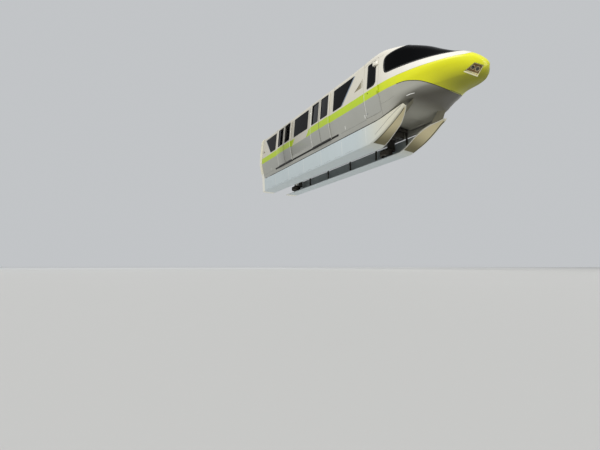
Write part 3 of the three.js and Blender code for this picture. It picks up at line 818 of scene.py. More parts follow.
def bend(a: Point2, b: Point2, c: Point2, radius: float, steps: int) -> list[Point2]:
    """Rounds the corner at b between a and c.

    Args:
        a: the point before the corner.
        b: the corner.
        c: the point after it.
        radius: the corner's radius.
        steps: pieces in the curve.

    Returns:
        The curve's points, from start to end.
    """
    va, vb, vc = Vector(a), Vector(b), Vector(c)
    half = (va - vb).angle(vc - vb) / 2
    reach = min(radius / math.tan(half), radius, 0.45 * (va - vb).length, 0.6 * (vc - vb).length)
    return arc(vb + (va - vb).normalized() * reach, vb, vb + (vc - vb).normalized() * reach, steps)


def grown(points: Line, d: float) -> list[Point2]:
    """Moves a closed outline outward, whichever way round it runs.

    Args:
        points: the outline.
        d: how far it moves.

    Returns:
        The larger outline, or the smaller one where d is negative.
    """
    area = sum(a[0] * b[1] - b[0] * a[1] for a, b in zip(points, [*points[1:], points[0]], strict=True))
    turn = 1.0 if area > 0 else -1.0
    made = []
    for i, p in enumerate(points):
        before = (Vector(p) - Vector(points[i - 1])).normalized()
        after = (Vector(points[(i + 1) % len(points)]) - Vector(p)).normalized()
        way = before + after
        normal = Vector((way.y, -way.x)).normalized() * turn
        flat = Vector((after.y, -after.x)) * turn
        stretch = d / max(0.35, normal.dot(flat))
        made.append((p[0] + normal.x * stretch, p[1] + normal.y * stretch))
    return made


def curve_through(points: Line, steps: int = 6) -> list[Point2]:
    """Returns a smooth line through points.

    Args:
        points: what it runs through.
        steps: pieces between each two points.

    Returns:
        The line's points.
    """
    made: list[Point2] = []
    ends = [points[0], *points, points[-1]]
    for a, b, c, d in zip(ends, ends[1:], ends[2:], ends[3:], strict=False):
        for t in (k / steps for k in range(steps)):
            made.append(tuple(
                0.5 * (2 * b[i] + (c[i] - a[i]) * t + (2 * a[i] - 5 * b[i] + 4 * c[i] - d[i]) * t * t
                       + (3 * b[i] - a[i] - 3 * c[i] + d[i]) * t ** 3) for i in (0, 1)))
    return [*made, points[-1]]


def between(a: Point2, b: Point2, count: int = 2) -> list[Point2]:
    """Returns points evenly spaced inside a straight line."""
    return [(a[0] + (b[0] - a[0]) * k / (count + 1), a[1] + (b[1] - a[1]) * k / (count + 1))
            for k in range(1, count + 1)]


def loft(rings: Sequence[Sequence[Point3]], closed: bool = False) -> Obj:
    """Skins closed rings of equal counts.

    Args:
        rings: the rings, in order.
        closed: whether the last ring joins the first. If not, each end gets a flat cap.

    Returns:
        The skin.
    """
    size, count = len(rings[0]), len(rings)
    faces = []
    for i in range(count if closed else count - 1):
        k = (i + 1) % count
        for j in range(size):
            m = (j + 1) % size
            faces.append((i * size + j, i * size + m, k * size + m, k * size + j))
    if not closed:
        faces += [range(size - 1, -1, -1), range((count - 1) * size, count * size)]
    return new_object("loft", [p for ring in rings for p in ring], faces)


def bead(path: Sequence[Vector], normals: Sequence[Vector], width: float, height: float,
         closed: bool = True, sides: int = 6) -> Obj:
    """Makes a low rounded strip that follows a path on a surface.

    Args:
        path: points on the surface.
        normals: the surface's normal at each point.
        width: the strip's width across the path.
        height: how far it stands proud.
        closed: whether the path joins its own start.
        sides: pieces over its rounded top.

    Returns:
        The closed mesh, with its foot sunk under the surface.
    """
    sink = 0.004
    rings = []
    count = len(path)
    for i, (p, n) in enumerate(zip(path, normals, strict=True)):
        before = path[i - 1] if closed or i else path[0]
        after = path[(i + 1) % count] if closed or i + 1 < count else path[-1]
        half = n.cross((after - before).normalized()).normalized() * (width / 2)
        top = [p + half * math.cos(a) + n * (height * math.sin(a))
               for a in (math.pi * k / sides for k in range(sides + 1))]
        rings.append([p + half - n * sink, *top, p - half - n * sink])
    return smoothed(outward(loft(rings, closed)), 50)


def bevelled(obj: Obj, width: float, segments: int = 2) -> Obj:
    """Rounds every edge of a small convex piece.

    Args:
        obj: the piece.
        width: the rounding's width.
        segments: how many faces it has.

    Returns:
        The same object.
    """
    with edited(obj) as bm:
        bmesh.ops.bevel(bm, geom=bm.edges[:], offset=width, segments=segments, profile=0.5, affect="EDGES")
    return smoothed(outward(obj), 40)


def turned(profile: Line, centre: Point3, axis: str = "Z", sides: int = 48) -> Obj:
    """Turns a closed half profile round an axis.

    Args:
        profile: points as (radius, along).
        centre: a point that the axis runs through.
        axis: the way it runs.
        sides: faces round it.

    Returns:
        The closed mesh.
    """
    x, y, z = centre
    rings = []
    for a in (2 * math.pi * i / sides for i in range(sides)):
        c, s = math.cos(a), math.sin(a)
        rings.append({"X": [(x + h, y + r * c, z + r * s) for r, h in profile],
                      "Y": [(x + r * s, y + h, z + r * c) for r, h in profile],
                      "Z": [(x + r * c, y + r * s, z + h) for r, h in profile]}[axis])
    return smoothed(outward(loft(rings, True)))


def both_faces(half: Line) -> list[Point2]:
    """Returns a wheel's whole profile from the half of it that lies on the positive side."""
    return [*half, *[(r, -along) for r, along in reversed(half)]]


def cushion(x: Point2, y: Point2, z: Point2, round_edge: float = 0.05, crown: float = 0.02) -> Obj:
    """Makes a crowned pad whose sides pull in between its corners.

    Args:
        x: its range along the car.
        y: its range across.
        z: its range in height.
        round_edge: how far its edges are rounded.
        crown: how far its top swells over its thin side.

    Returns:
        The closed mesh.
    """
    obj = block(x, y, z)
    lows, highs = Vector((min(x), min(y), min(z))), Vector((max(x), max(y), max(z)))
    middle, half = (lows + highs) / 2, (highs - lows) / 2
    thin = min(range(3), key=lambda i: half[i])
    first, second = [i for i in range(3) if i != thin]
    with edited(obj) as bm:
        bmesh.ops.bevel(bm, geom=bm.edges[:], offset=round_edge, segments=4, profile=0.6, affect="EDGES")
        wide = [e for e in bm.edges if e.calc_length() > 0.1]
        bmesh.ops.subdivide_edges(bm, edges=wide, cuts=5, use_grid_fill=True)
        for v in bm.verts:
            u = [(v.co[i] - middle[i]) / half[i] for i in range(3)]
            swell = (1 - u[first] ** 2) * (1 - u[second] ** 2)
            v.co[thin] += (crown if u[thin] > 0 else 0.0) * swell - 0.5 * crown * max(0.0, u[thin])
            v.co[first] -= 0.4 * crown * u[first] * (1 - u[second] ** 2)
            v.co[second] -= 0.4 * crown * u[second] * (1 - u[first] ** 2)
    return smoothed(outward(obj), 60)


def fitted(obj: Obj, name: str, paint: Paint, body: str = "car_body", nodes: Iterable[str] = (),
           slot: str | None = None) -> Obj:
    """Puts a finished mesh on its body, with its finish and what it stands for.

    Args:
        obj: the piece's object.
        name: its name in the table.
        paint: its finish.
        body: the CAD body that it moves with.
        nodes: the CAD nodes that it replaces.
        slot: the record's material slot that it takes its finish from.

    Returns:
        The same object.
    """
    obj.name = obj.data.name = name
    obj.data.materials.clear()
    obj.data.materials.append(paint.value.material())
    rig.ride(obj, body)
    if nodes:
        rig.replaces(obj, *nodes)
    if slot:
        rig.slot(obj, slot)
    LOG.info("%s: %d faces on %s", name, len(obj.data.polygons), body)
    return obj


# Repeats, by Geometry Nodes


class Pattern(Enum):
    """How a repeated piece is laid out, with the inputs that its tree takes."""

    ROW = (("Count", "Int"), ("Start", "Vector"), ("Step", "Vector"))
    RING = (("Count", "Int"), ("Radius", "Float"), ("Turn", "Rotation"), ("Centre", "Vector"))

    def tree(self) -> bpy.types.NodeTree:
        """Builds the pattern's Geometry Nodes tree, or finds the one that was built before.

        Returns:
            The tree.
        """
        name = f"repeat_{self.name.lower()}"
        if name in bpy.data.node_groups:
            return bpy.data.node_groups[name]
        group = bpy.data.node_groups.new(name, "GeometryNodeTree")
        for socket, kind in (("Unit", "Geometry"), *self.value, ("Finish", "Material")):
            group.interface.new_socket(name=socket, in_out="INPUT", socket_type=f"NodeSocket{kind}")
        group.interface.new_socket(name="Copies", in_out="OUTPUT", socket_type="NodeSocketGeometry")
        t = Tree(group)
        given = t.node("NodeGroupInput").outputs
        if self is Pattern.ROW:
            sizes = {"Count": given["Count"], "Start Location": given["Start"], "Offset": given["Step"]}
            points = t.node("GeometryNodeMeshLine", sizes).outputs[0]
            laid = t.node("GeometryNodeInstanceOnPoints", {"Points": points, "Instance": given["Unit"]})
        else:
            sizes = {"Vertices": given["Count"], "Radius": given["Radius"]}
            points = t.node("GeometryNodeMeshCircle", sizes).outputs[0]
            place = t.node("GeometryNodeInputPosition").outputs[0]
            facing = t.node("FunctionNodeAlignRotationToVector", {"Vector": place}, axis="X").outputs[0]
            copies = {"Points": points, "Instance": given["Unit"], "Rotation": facing}
            ring = t.node("GeometryNodeInstanceOnPoints", copies).outputs[0]
            laid = t.node("GeometryNodeTransform", {"Geometry": ring, "Translation": given["Centre"],
                                                    "Rotation": given["Turn"]})
        real = t.node("GeometryNodeRealizeInstances", {"Geometry": laid.outputs[0]}).outputs[0]
        dressed = t.node("GeometryNodeSetMaterial", {"Geometry": real, "Material": given["Finish"]})
        t.node("NodeGroupOutput", {0: dressed.outputs[0]})
        return group

    def lay(self, unit: Obj, paint: Paint, **values: object) -> Obj:
        """Repeats a small mesh.

        Args:
            unit: the mesh to repeat, about the origin.
            paint: the finish of the copies.
            values: the tree's inputs by name.

        Returns:
            The unit's object, which now holds all the copies as plain mesh.
        """
        made = unit.modifiers.new("repeat", "NODES")
        made.node_group = self.tree()
        names = {item.name: item.identifier for item in made.node_group.interface.items_tree
                 if item.in_out == "INPUT"}
        for name, value in {**values, "Finish": paint.value.material()}.items():
            made[names[name]] = value
        return baked(unit)


# The body's form


@dataclass(frozen=True)
class Table:
    """Stations along the car, with each column on a curve that doesn't overshoot its rows."""

    columns: Sequence[str]
    rows: Sequence[Sequence[float]]

    def _slope(self, row: int, column: int) -> float:
        """Returns the straight slope from a row to the next."""
        a, b = self.rows[row], self.rows[row + 1]
        return (b[column] - a[column]) / (b[0] - a[0])

    def _tangent(self, row: int, column: int) -> float:
        """Returns the curve's slope at a row.

        Args:
            row: the row's number.
            column: the column's number.

        Returns:
            The slope, level where the column turns back.
        """
        last = len(self.rows) - 1
        if row in (0, last):
            return self._slope(min(row, last - 1), column)
        before, after = self._slope(row - 1, column), self._slope(row, column)
        return 0.0 if before * after <= 0 else 2 * before * after / (before + after)

    def at(self, x: float) -> dict[str, float]:
        """Works the columns out at a place.

        Args:
            x: the place along the car.

        Returns:
            The values by column name.
        """
        last = len(self.rows) - 1
        i = max(0, min(last - 1, sum(1 for row in self.rows if row[0] <= x) - 1))
        a, b = self.rows[i], self.rows[i + 1]
        width = b[0] - a[0]
        s = (x - a[0]) / width
        made = {"x": x}
        for c, name in enumerate(self.columns[1:], 1):
            made[name] = ((1 + 2 * s) * (1 - s) ** 2 * a[c] + s * (1 - s) ** 2 * width * self._tangent(i, c)
                          + s * s * (3 - 2 * s) * b[c] + s * s * (s - 1) * width * self._tangent(i + 1, c))
        return made


@dataclass
class BodyForm:
    """The body's outer form: half-widths (y) and heights (z) at stations, the same as the frame's."""

    rear: float = -4.57
    tip: float = 8.2
    curved: float = 3.5
    waist_round: float = 0.45
    fine: int = 3
    table: Table = field(default_factory=lambda: Table(
        ("x", "yk", "zk", "yb", "zb", "e", "yl", "zl", "yu", "zu", "yt", "zt", "r", "zc"),
        (
            (-4.57, 1.01, 0.085, 1.12, -0.216, 0.04, 1.296, 0.62, 1.3, 0.92, 1.189, 2.134, 0.25, 2.23),
            (3.5, 1.01, 0.085, 1.12, -0.216, 0.04, 1.296, 0.62, 1.3, 0.92, 1.189, 2.134, 0.25, 2.23),
            (4.42, 1.01, 0.085, 1.12, -0.216, 0.04, 1.296, 0.62, 1.3, 0.92, 1.187, 2.165, 0.255, 2.262),
            (4.9, 1.0, 0.085, 1.118, -0.212, 0.04, 1.296, 0.622, 1.3, 0.92, 1.184, 2.19, 0.26, 2.292),
            (5.25, 0.985, 0.085, 1.105, -0.155, 0.04, 1.291, 0.626, 1.297, 0.918, 1.175, 2.172, 0.28, 2.268),
            (5.6, 0.95, 0.085, 1.08, -0.08, 0.06, 1.266, 0.632, 1.276, 0.91, 1.13, 2.105, 0.32, 2.185),
            (6.04, 0.8, 0.085, 1.03, 0.1, 0.12, 1.186, 0.645, 1.2, 0.898, 1.01, 1.985, 0.38, 2.075),
            (6.63, 0.46, 0.085, 0.865, 0.27, 0.16, 1.042, 0.662, 1.07, 0.868, 0.77, 1.7, 0.42, 1.785),
            (7.16, 0.25, 0.086, 0.579, 0.28, 0.16, 0.85, 0.66, 0.888, 0.84, 0.56, 1.33, 0.38, 1.402),
            (7.5, 0.21, 0.09, 0.477, 0.27, 0.15, 0.7, 0.65, 0.738, 0.822, 0.43, 1.115, 0.26, 1.17),
            (7.75, 0.19, 0.094, 0.398, 0.26, 0.13, 0.568, 0.63, 0.596, 0.795, 0.35, 0.995, 0.2, 1.03),
            (7.98, 0.15, 0.12, 0.288, 0.26, 0.09, 0.378, 0.57, 0.404, 0.72, 0.24, 0.82, 0.13, 0.85),
            (8.12, 0.09, 0.22, 0.164, 0.3, 0.05, 0.218, 0.5, 0.236, 0.6, 0.14, 0.66, 0.07, 0.68),
            (8.2, 0.03, 0.4, 0.042, 0.416, 0.01, 0.056, 0.455, 0.06, 0.49, 0.036, 0.518, 0.014, 0.524),
        )))

    def half(self, x: float, off: float = 0.0) -> list[Point2]:
        """Works out half the outline at a station.

        Args:
            x: the station.
            off: how far it is moved outward.

        Returns:
            Points (y, z) from under the middle to the crown.
        """
        s = self.table.at(x)
        keel = (s["yk"], s["zk"] - off)
        foot = (s["yb"] + off, s["zb"] - off)
        low, up = (s["yl"] + off, s["zl"]), (s["yu"] + off, s["zu"])
        eave = (s["yt"] + off, s["zt"] + off)
        crown = (0.0, s["zc"] + off)
        roof = (eave[0] * 0.5, crown[1])
        shoulder = bend(up, eave, roof, s["r"] + off, 4 * self.fine)
        top = arc(Vector(shoulder[-1]), Vector(roof), Vector(crown), 3 * self.fine)[1:]
        edge = bend(keel, foot, low, s["e"], 6)
        waist_low = bend(foot, low, up, self.waist_round, self.fine)
        waist_up = bend(low, up, eave, self.waist_round, self.fine)
        return [(0.0, keel[1]), keel, *edge, *between(edge[-1], waist_low[0]), *waist_low,
                *between(waist_low[-1], waist_up[0]), *waist_up, *between(waist_up[-1], shoulder[0]),
                *shoulder, *top]

    def ring(self, x: float, off: float = 0.0) -> list[Point3]:
        """Returns the whole outline at a station, anticlockwise as seen from the nose."""
        half = self.half(x, off)
        return [(x, y, z) for y, z in half] + [(x, -y, z) for y, z in reversed(half[1:-1])]

    def closed(self, off: float = 0.0, first: float | None = None, last: float | None = None) -> Obj:
        """Makes the solid form over a length of the car: few rings where it is straight, many round the nose.

        Args:
            off: how far it is moved outward.
            first: where it starts, at the rear end if not given.
            last: where it ends, at the nose's tip if not given.

        Returns:
            The closed form.
        """
        first = self.rear if first is None else first
        last = self.tip if last is None else last
        return loft([self.ring(x, off) for x in stations(first, last, self.curved)])

    def half_width(self, x: float, z: float, off: float = 0.0) -> float:
        """Measures the side's distance from the middle.

        Args:
            x: the place along the car.
            z: the height.
            off: how far the surface is moved outward.

        Returns:
            The distance.
        """
        half = self.half(x, off)
        for (y0, z0), (y1, z1) in zip(half[1:], half[2:], strict=False):
            if z0 <= z <= z1 and z1 > z0:
                return y0 + (y1 - y0) * (z - z0) / (z1 - z0)
        return 0.0 if z > half[-1][1] else half[1][0]

    def on_side(self, x: float, z: float, s: Side, off: float = 0.0) -> Vector:
        """Returns a point of one side's surface."""
        heights = [point[1] for point in self.half(x, off)]
        return Vector((x, s * self.half_width(x, z, off), min(max(z, min(heights)), heights[-1])))

    def follow(self, line: Line, s: Side, off: float = 0.0, step: float = 0.05) -> list[Vector]:
        """Follows a side view line on one side's surface.

        Args:
            line: the line.
            s: the side.
            off: how far the surface is moved outward.
            step: how far apart the points are, at most.

        Returns:
            Points on the surface.
        """
        made = [self.on_side(*line[0], s, off)]
        for a, b in zip(line, line[1:], strict=False):
            todo = [(a, b, 0)]
            while todo:
                a, b, depth = todo.pop()
                end = self.on_side(*b, s, off)
                if (end - made[-1]).length > step and depth < 9:
                    half = ((a[0] + b[0]) / 2, (a[1] + b[1]) / 2)
                    todo += [(half, b, depth + 1), (a, half, depth + 1)]
                else:
                    made.append(end)
        return made


def stations(first: float, last: float, curved: float, step: float = 0.05) -> list[float]:
    """Chooses places along the car: two where it is straight, then many.

    Args:
        first: the first place.
        last: the last one.
        curved: where the straight length ends.
        step: about how far apart the places are from there on.

    Returns:
        The places.
    """
    made = [first] if first < curved else []
    start = max(first, curved)
    if last <= start:
        return [*made, last]
    count = max(1, round((last - start) / step))
    return made + [start + (last - start) * i / count for i in range(count + 1)]


class Skin:
    """The form's smooth surface, which gives cut panels their true normals."""

    def __init__(self, source: Obj, hard: float = 32.0) -> None:
        """Copies the surface's faces and point normals.

        Args:
            source: the uncut smooth form.
            hard: faces that turn away from the surface by more than this, in degrees, stay flat.
        """
        mesh = source.data
        self.points = [v.co.copy() for v in mesh.vertices]
        self.normals = [v.normal.copy() for v in mesh.vertices]
        self.faces = [tuple(p.vertices) for p in mesh.polygons]
        self.tree = BVHTree.FromPolygons(self.points, self.faces)
        self.limit = math.cos(math.radians(hard))

    def normal(self, place: Vector) -> Vector:
        """Blends the surface's normals round a point.

        Args:
            place: the point.

        Returns:
            The smooth normal nearest to it.
        """
        corners = self.faces[self.tree.find_nearest(place)[2]]
        total = Vector(ORIGIN)
        for corner in corners:
            total += self.normals[corner] * (1.0 / (1e-6 + (self.points[corner] - place).length))
        return total.normalized()

    def soften(self, obj: Obj) -> Obj:
        """Gives each corner of a panel the surface's normal where its face follows the surface.

        Args:
            obj: the panel.

        Returns:
            The same object.
        """
        mesh = obj.data
        known: dict[int, Vector] = {}
        loops = []
        for polygon in mesh.polygons:
            polygon.use_smooth = True
            for vertex in polygon.vertices:
                if vertex not in known:
                    known[vertex] = self.normal(mesh.vertices[vertex].co)
                facing = known[vertex].dot(polygon.normal)
                follows = abs(facing) > self.limit
                loops.append(known[vertex] * math.copysign(1.0, facing) if follows else polygon.normal.copy())
        mesh.normals_split_custom_set(loops)
        return obj


# The body's outlines in side view

CAB_X = 4.42
ROOF_Z = 1.96
STRIPE_LOW = 0.62
WINDOW_LOW, WINDOW_TOP = 1.0, 1.908
WALL = 0.06
GAP = 0.0003
BORDER = ((5.9, 0.904), (6.35, 0.884), (6.9, 0.854), (7.5, 0.818), (7.75, 0.796), (7.84, 0.796), (7.89, 0.84),
          (7.94, 0.93), (7.98, 1.1))
NOSE_SEAM = ((5.9, 0.62), (6.12, 0.606), (6.33, 0.56), (6.6, 0.46), (6.83, 0.32), (7.0, 0.195), (7.16, 0.06))
SHIELD_SILL = ((5.6, 1.2), (6.0, 1.18), (6.63, 1.134), (7.16, 1.098), (7.66, 1.068))
SHIELD_OVER = ((8.0, 1.4), (6.9, 2.5), (6.4, 2.5))
SHIELD_REAR = ((6.23, 2.06), (6.13, 1.95), (6.0, 1.904), (5.81, 1.872), (5.55, 1.828), (5.46, 1.785),
               (5.412, 1.7), (5.4, 1.5), (5.44, 1.29), (5.5, 1.222))
SLANTED = ((2.585, WINDOW_LOW), (3.14, WINDOW_LOW), (3.861, WINDOW_TOP), (2.585, WINDOW_TOP))
CAB_WINDOW = ((4.62, 1.01), (4.95, 1.01), (5.025, 1.09), (5.025, 1.9), (4.64, 1.9))


# The car's sub-assemblies


@dataclass
class Hull:
    """The body's uncut shell, which every outer panel is cut from."""

    form: BodyForm = field(default_factory=BodyForm)
    inner_end: float = 8.09
    overrun: float = 0.05

    def __post_init__(self) -> None:
        """Makes the shell and its smooth skin."""
        outer = self.form.closed()
        self.skin = Skin(outer)
        self.shell = carve(outer, self.form.closed(-WALL, self.form.rear - self.overrun, self.inner_end))

    def layer(self, low: float, high: float, first: float, last: float) -> Obj:
        """Makes the layer between two offsets from the surface, over a length of the car."""
        core = self.form.closed(low, first - self.overrun, last + self.overrun)
        return carve(self.form.closed(high, first, last), core)

    def panel(self, keep: Obj, cuts: Sequence[Obj] = (), source: Obj | None = None) -> Obj:
        """Cuts a panel out of the shell.

        Args:
            keep: the region to keep, used up.
            cuts: the tools to take away, used up.
            source: another layer to cut it from, which stays.

        Returns:
            The panel, with the smooth surface's normals.
        """
        made = carve(copied(source or self.shell), keep, "INTERSECT")
        if cuts:
            carve(made, merged(cuts))
        return self.skin.soften(made)

    def strip(self, path: Sequence[Vector], width: float, height: float, closed: bool = False) -> Obj:
        """Lays a low rounded strip along points on the body's surface."""
        return bead(path, [self.skin.normal(p) for p in path], width, height, closed)

    def rim(self, points: Line, s: Side, width: float, height: float, off: float = 0.0) -> Obj:
        """Lays a strip round a closed outline in side view, on one side of the body."""
        return self.strip([self.form.on_side(x, z, s, off) for x, z in points], width, height, True)

    def seam(self, points: Line, s: Side, width: float = 0.008, height: float = 0.0015,
             off: float = 0.0) -> Obj:
        """Lays an open strip along a line in side view, on one side of the body."""
        return self.strip(self.form.follow(points, s, off, 0.08), width, height)

    def seams(self, points: Line, width: float, height: float = 0.0015) -> list[Obj]:
        """Lays the same open strip on both sides of the body."""
        return [self.seam(points, s, width, height) for s in Side]

    def hoop(self, x: float, width: float, height: float, low: float) -> Obj:
        """Lays an open strip over the body, from one side's foot to the other's.

        Args:
            x: its place along the car.
            width: the strip's width.
            height: how far it stands proud.
            low: the height of its feet.

        Returns:
            The strip.
        """
        ring = [Vector(p) for p in self.form.ring(x)]
        foot = min(range(len(ring) // 2), key=lambda i: ring[i].z)
        return self.strip([p for p in ring[foot : len(ring) - foot + 1] if p.z > low], width, height)


@dataclass
class Saloon:
    """Roof, side walls, window gaskets, air intakes and the door slot."""

    hull: Hull
    rear: float = -4.27
    near: float = 1.05
    roof_joints: tuple[float, ...] = (-2.6, 0.0, 2.6)
    doorway: tuple[float, float, float, float] = (0.985, 2.255, 0.195, 1.895)
    wide_half: float = 0.626
    corner: float = 0.05
    bar: tuple[Point2, Point2] = ((3.172, WINDOW_LOW + 0.005), (3.888, WINDOW_TOP - 0.005))
    sill_z: float = -0.015
    sills: tuple[Point2, Point2] = ((2.95, CAB_X), (-4.2, -2.95))
    latches: tuple[float, ...] = (-3.27, 3.24, 4.37)
    latch_z: Point2 = (0.05, 0.17)
    slot_half: float = 2.77
    slot: Point2 = (-0.03, 0.0)
    slot_depth: float = 0.036
    lining: float = 0.0014
    lip: float = 0.03
    intake_depth: float = 0.024
    intakes: tuple[tuple[Line, float], ...] = (
        (((3.9, 1.21), (4.37, 1.21), (4.37, 1.55)), 4.27),
        (((-4.22, 1.21), (-3.9, 1.21), (-4.22, 1.45)), -4.185),
    )
    rib: float = 0.022
    rib_near: float = 1.1
    rib_top: float = 1.56
    rib_step: float = 0.05

    def windows(self) -> list[list[Point2]]:
        """Returns the fixed windows' outlines."""
        middle = window(-self.wide_half, self.wide_half, WINDOW_LOW, WINDOW_TOP)
        return [middle, list(SLANTED), [(-x, z) for x, z in reversed(SLANTED)]]

    def doorways(self, s: Side, margin: float = 0.0) -> list[Obj]:
        """Makes the tools that open one side's doorways.

        Args:
            s: the side.
            margin: how far the doorways are grown.

        Returns:
            The tools.
        """
        x0, x1, z0, z1 = self.doorway
        return [block((e * (x0 - margin), e * (x1 + margin)), across(s), (z0 - margin, z1 + margin))
                for e in End]

    def build(self) -> None:
        """Builds the saloon's panels and their fittings."""
        hull, length = self.hull, (self.rear, CAB_X - GAP)
        roof = hull.panel(block(length, (-FAR, FAR), (ROOF_Z, FAR)))
        fitted(roof, "saloon_roof", Paint.CAB, nodes=["roof_shell"], slot="body")
        joints = [hull.hoop(x, 0.016, 0.003, ROOF_Z + 0.01) for x in self.roof_joints]
        fitted(merged(joints), "roof_joint_strips", Paint.SEAM)
        recess = hull.layer(-self.intake_depth, 0.02, self.rear, CAB_X)
        bottom = hull.form.half_width(0.0, sum(self.slot) / 2) - self.slot_depth
        for s in Side:
            cuts = [punch(points, s) for points in self.windows()] + self.doorways(s)
            cuts.append(block((-self.slot_half, self.slot_half), across(s, bottom), self.slot))
            wall = hull.panel(block(length, across(s, self.near), (-FAR, ROOF_Z - GAP)), cuts)
            hollows = merged([punch(points, s) for points, _ in self.intakes])
            carve(wall, carve(hollows, copied(recess), "INTERSECT"))
            hull.skin.soften(wall)
            fitted(wall, f"saloon_wall_{s}", Paint.BODY, nodes=[f"side_wall_{s}"], slot="body")
            rims = [hull.rim(rounded(points, self.corner), s, 0.026, 0.001) for points in self.windows()]
            fitted(merged(rims), f"window_gaskets_{s}", Paint.GASKET)
            bars = [hull.seam([(e * x, z) for x, z in self.bar], s, 0.055, 0.012) for e in End]
            fitted(merged(bars), f"slanted_window_bars_{s}", Paint.BAR)
            self.slot_lining(s)
            self.louvres(s)
            lines = [hull.seam([(a, self.sill_z), (b, self.sill_z)], s) for a, b in self.sills]
            fitted(merged(lines), f"wall_panel_lines_{s}", Paint.SEAM)
            latches = [hull.seam(vertical(x, *self.latch_z), s, 0.03, 0.006) for x in self.latches]
            fitted(merged(latches), f"wall_latches_{s}", Paint.BRIGHT)
        dropped(recess)

    def slot_lining(self, s: Side) -> None:
        """Lines the doors' slot with a black channel and lays a black lip along each edge of it: painted shade that
        makes the slot read as a dark line.

        Args:
            s: the side.
        """
        low, top = self.slot
        end = self.slot_half + 0.03
        outer = self.hull.layer(-self.slot_depth + 0.0002, -0.0005, -end, end)
        inner = self.hull.layer(-self.slot_depth + self.lining, 0.02, -end, end)
        near = across(s, 0.9)
        half = self.slot_half - self.lining
        carve(inner, block((-half, half), near, (low + self.lining, top - self.lining)), "INTERSECT")
        half = self.slot_half - GAP
        channel = self.hull.panel(block((-half, half), near, (low + 0.0001, top - 0.0001)), [inner], outer)
        dropped(outer)
        fitted(channel, f"door_slot_lining_{s}", Paint.GASKET)
        half = self.slot_half + 0.02
        lips = [self.hull.seam([(-half, z), (half, z)], s, self.lip, 0.001)
                for z in (low - 0.012, top + 0.013)]
        fitted(merged(lips), f"door_slot_lips_{s}", Paint.GASKET)

    def louvres(self, s: Side) -> None:
        """Lines the floor of each intake and sets a row of upright ribs in it.

        Args:
            s: the side.
        """
        low = -self.intake_depth
        back = self.hull.layer(low + 0.0005, low + 0.003, self.rear, CAB_X)
        layer = self.hull.layer(low + 0.001, -0.004, self.rear, CAB_X)
        floors, ribs = [], []
        for points, first in self.intakes:
            floors.append(self.hull.panel(punch(grown(points, -0.002), s), source=back))
            rib = block((0.0, self.rib), across(s, self.rib_near), (points[0][1] - 0.01, self.rib_top))
            laid = Pattern.ROW.lay(rib, Paint.CAB, Count=2, Start=(first, 0, 0), Step=(self.rib_step, 0, 0))
            hole = carve(punch(grown(points, -0.003), s), copied(layer), "INTERSECT")
            ribs.append(carve(laid, hole, "INTERSECT"))
        dropped(back, layer)
        fitted(merged(floors), f"intake_floors_{s}", Paint.MESH)
        fitted(merged(ribs), f"intake_ribs_{s}", Paint.CAB)


@dataclass(frozen=True)
class Leaf:
    """Where one sliding leaf, its pane and its runner lie along the car, and where its edges' strips lie: the white
    strip of painted highlight and the nosing.
    """

    span: Point2
    pane: Point2
    runner: Point2
    edge: float
    edge_width: float
    nosing: float


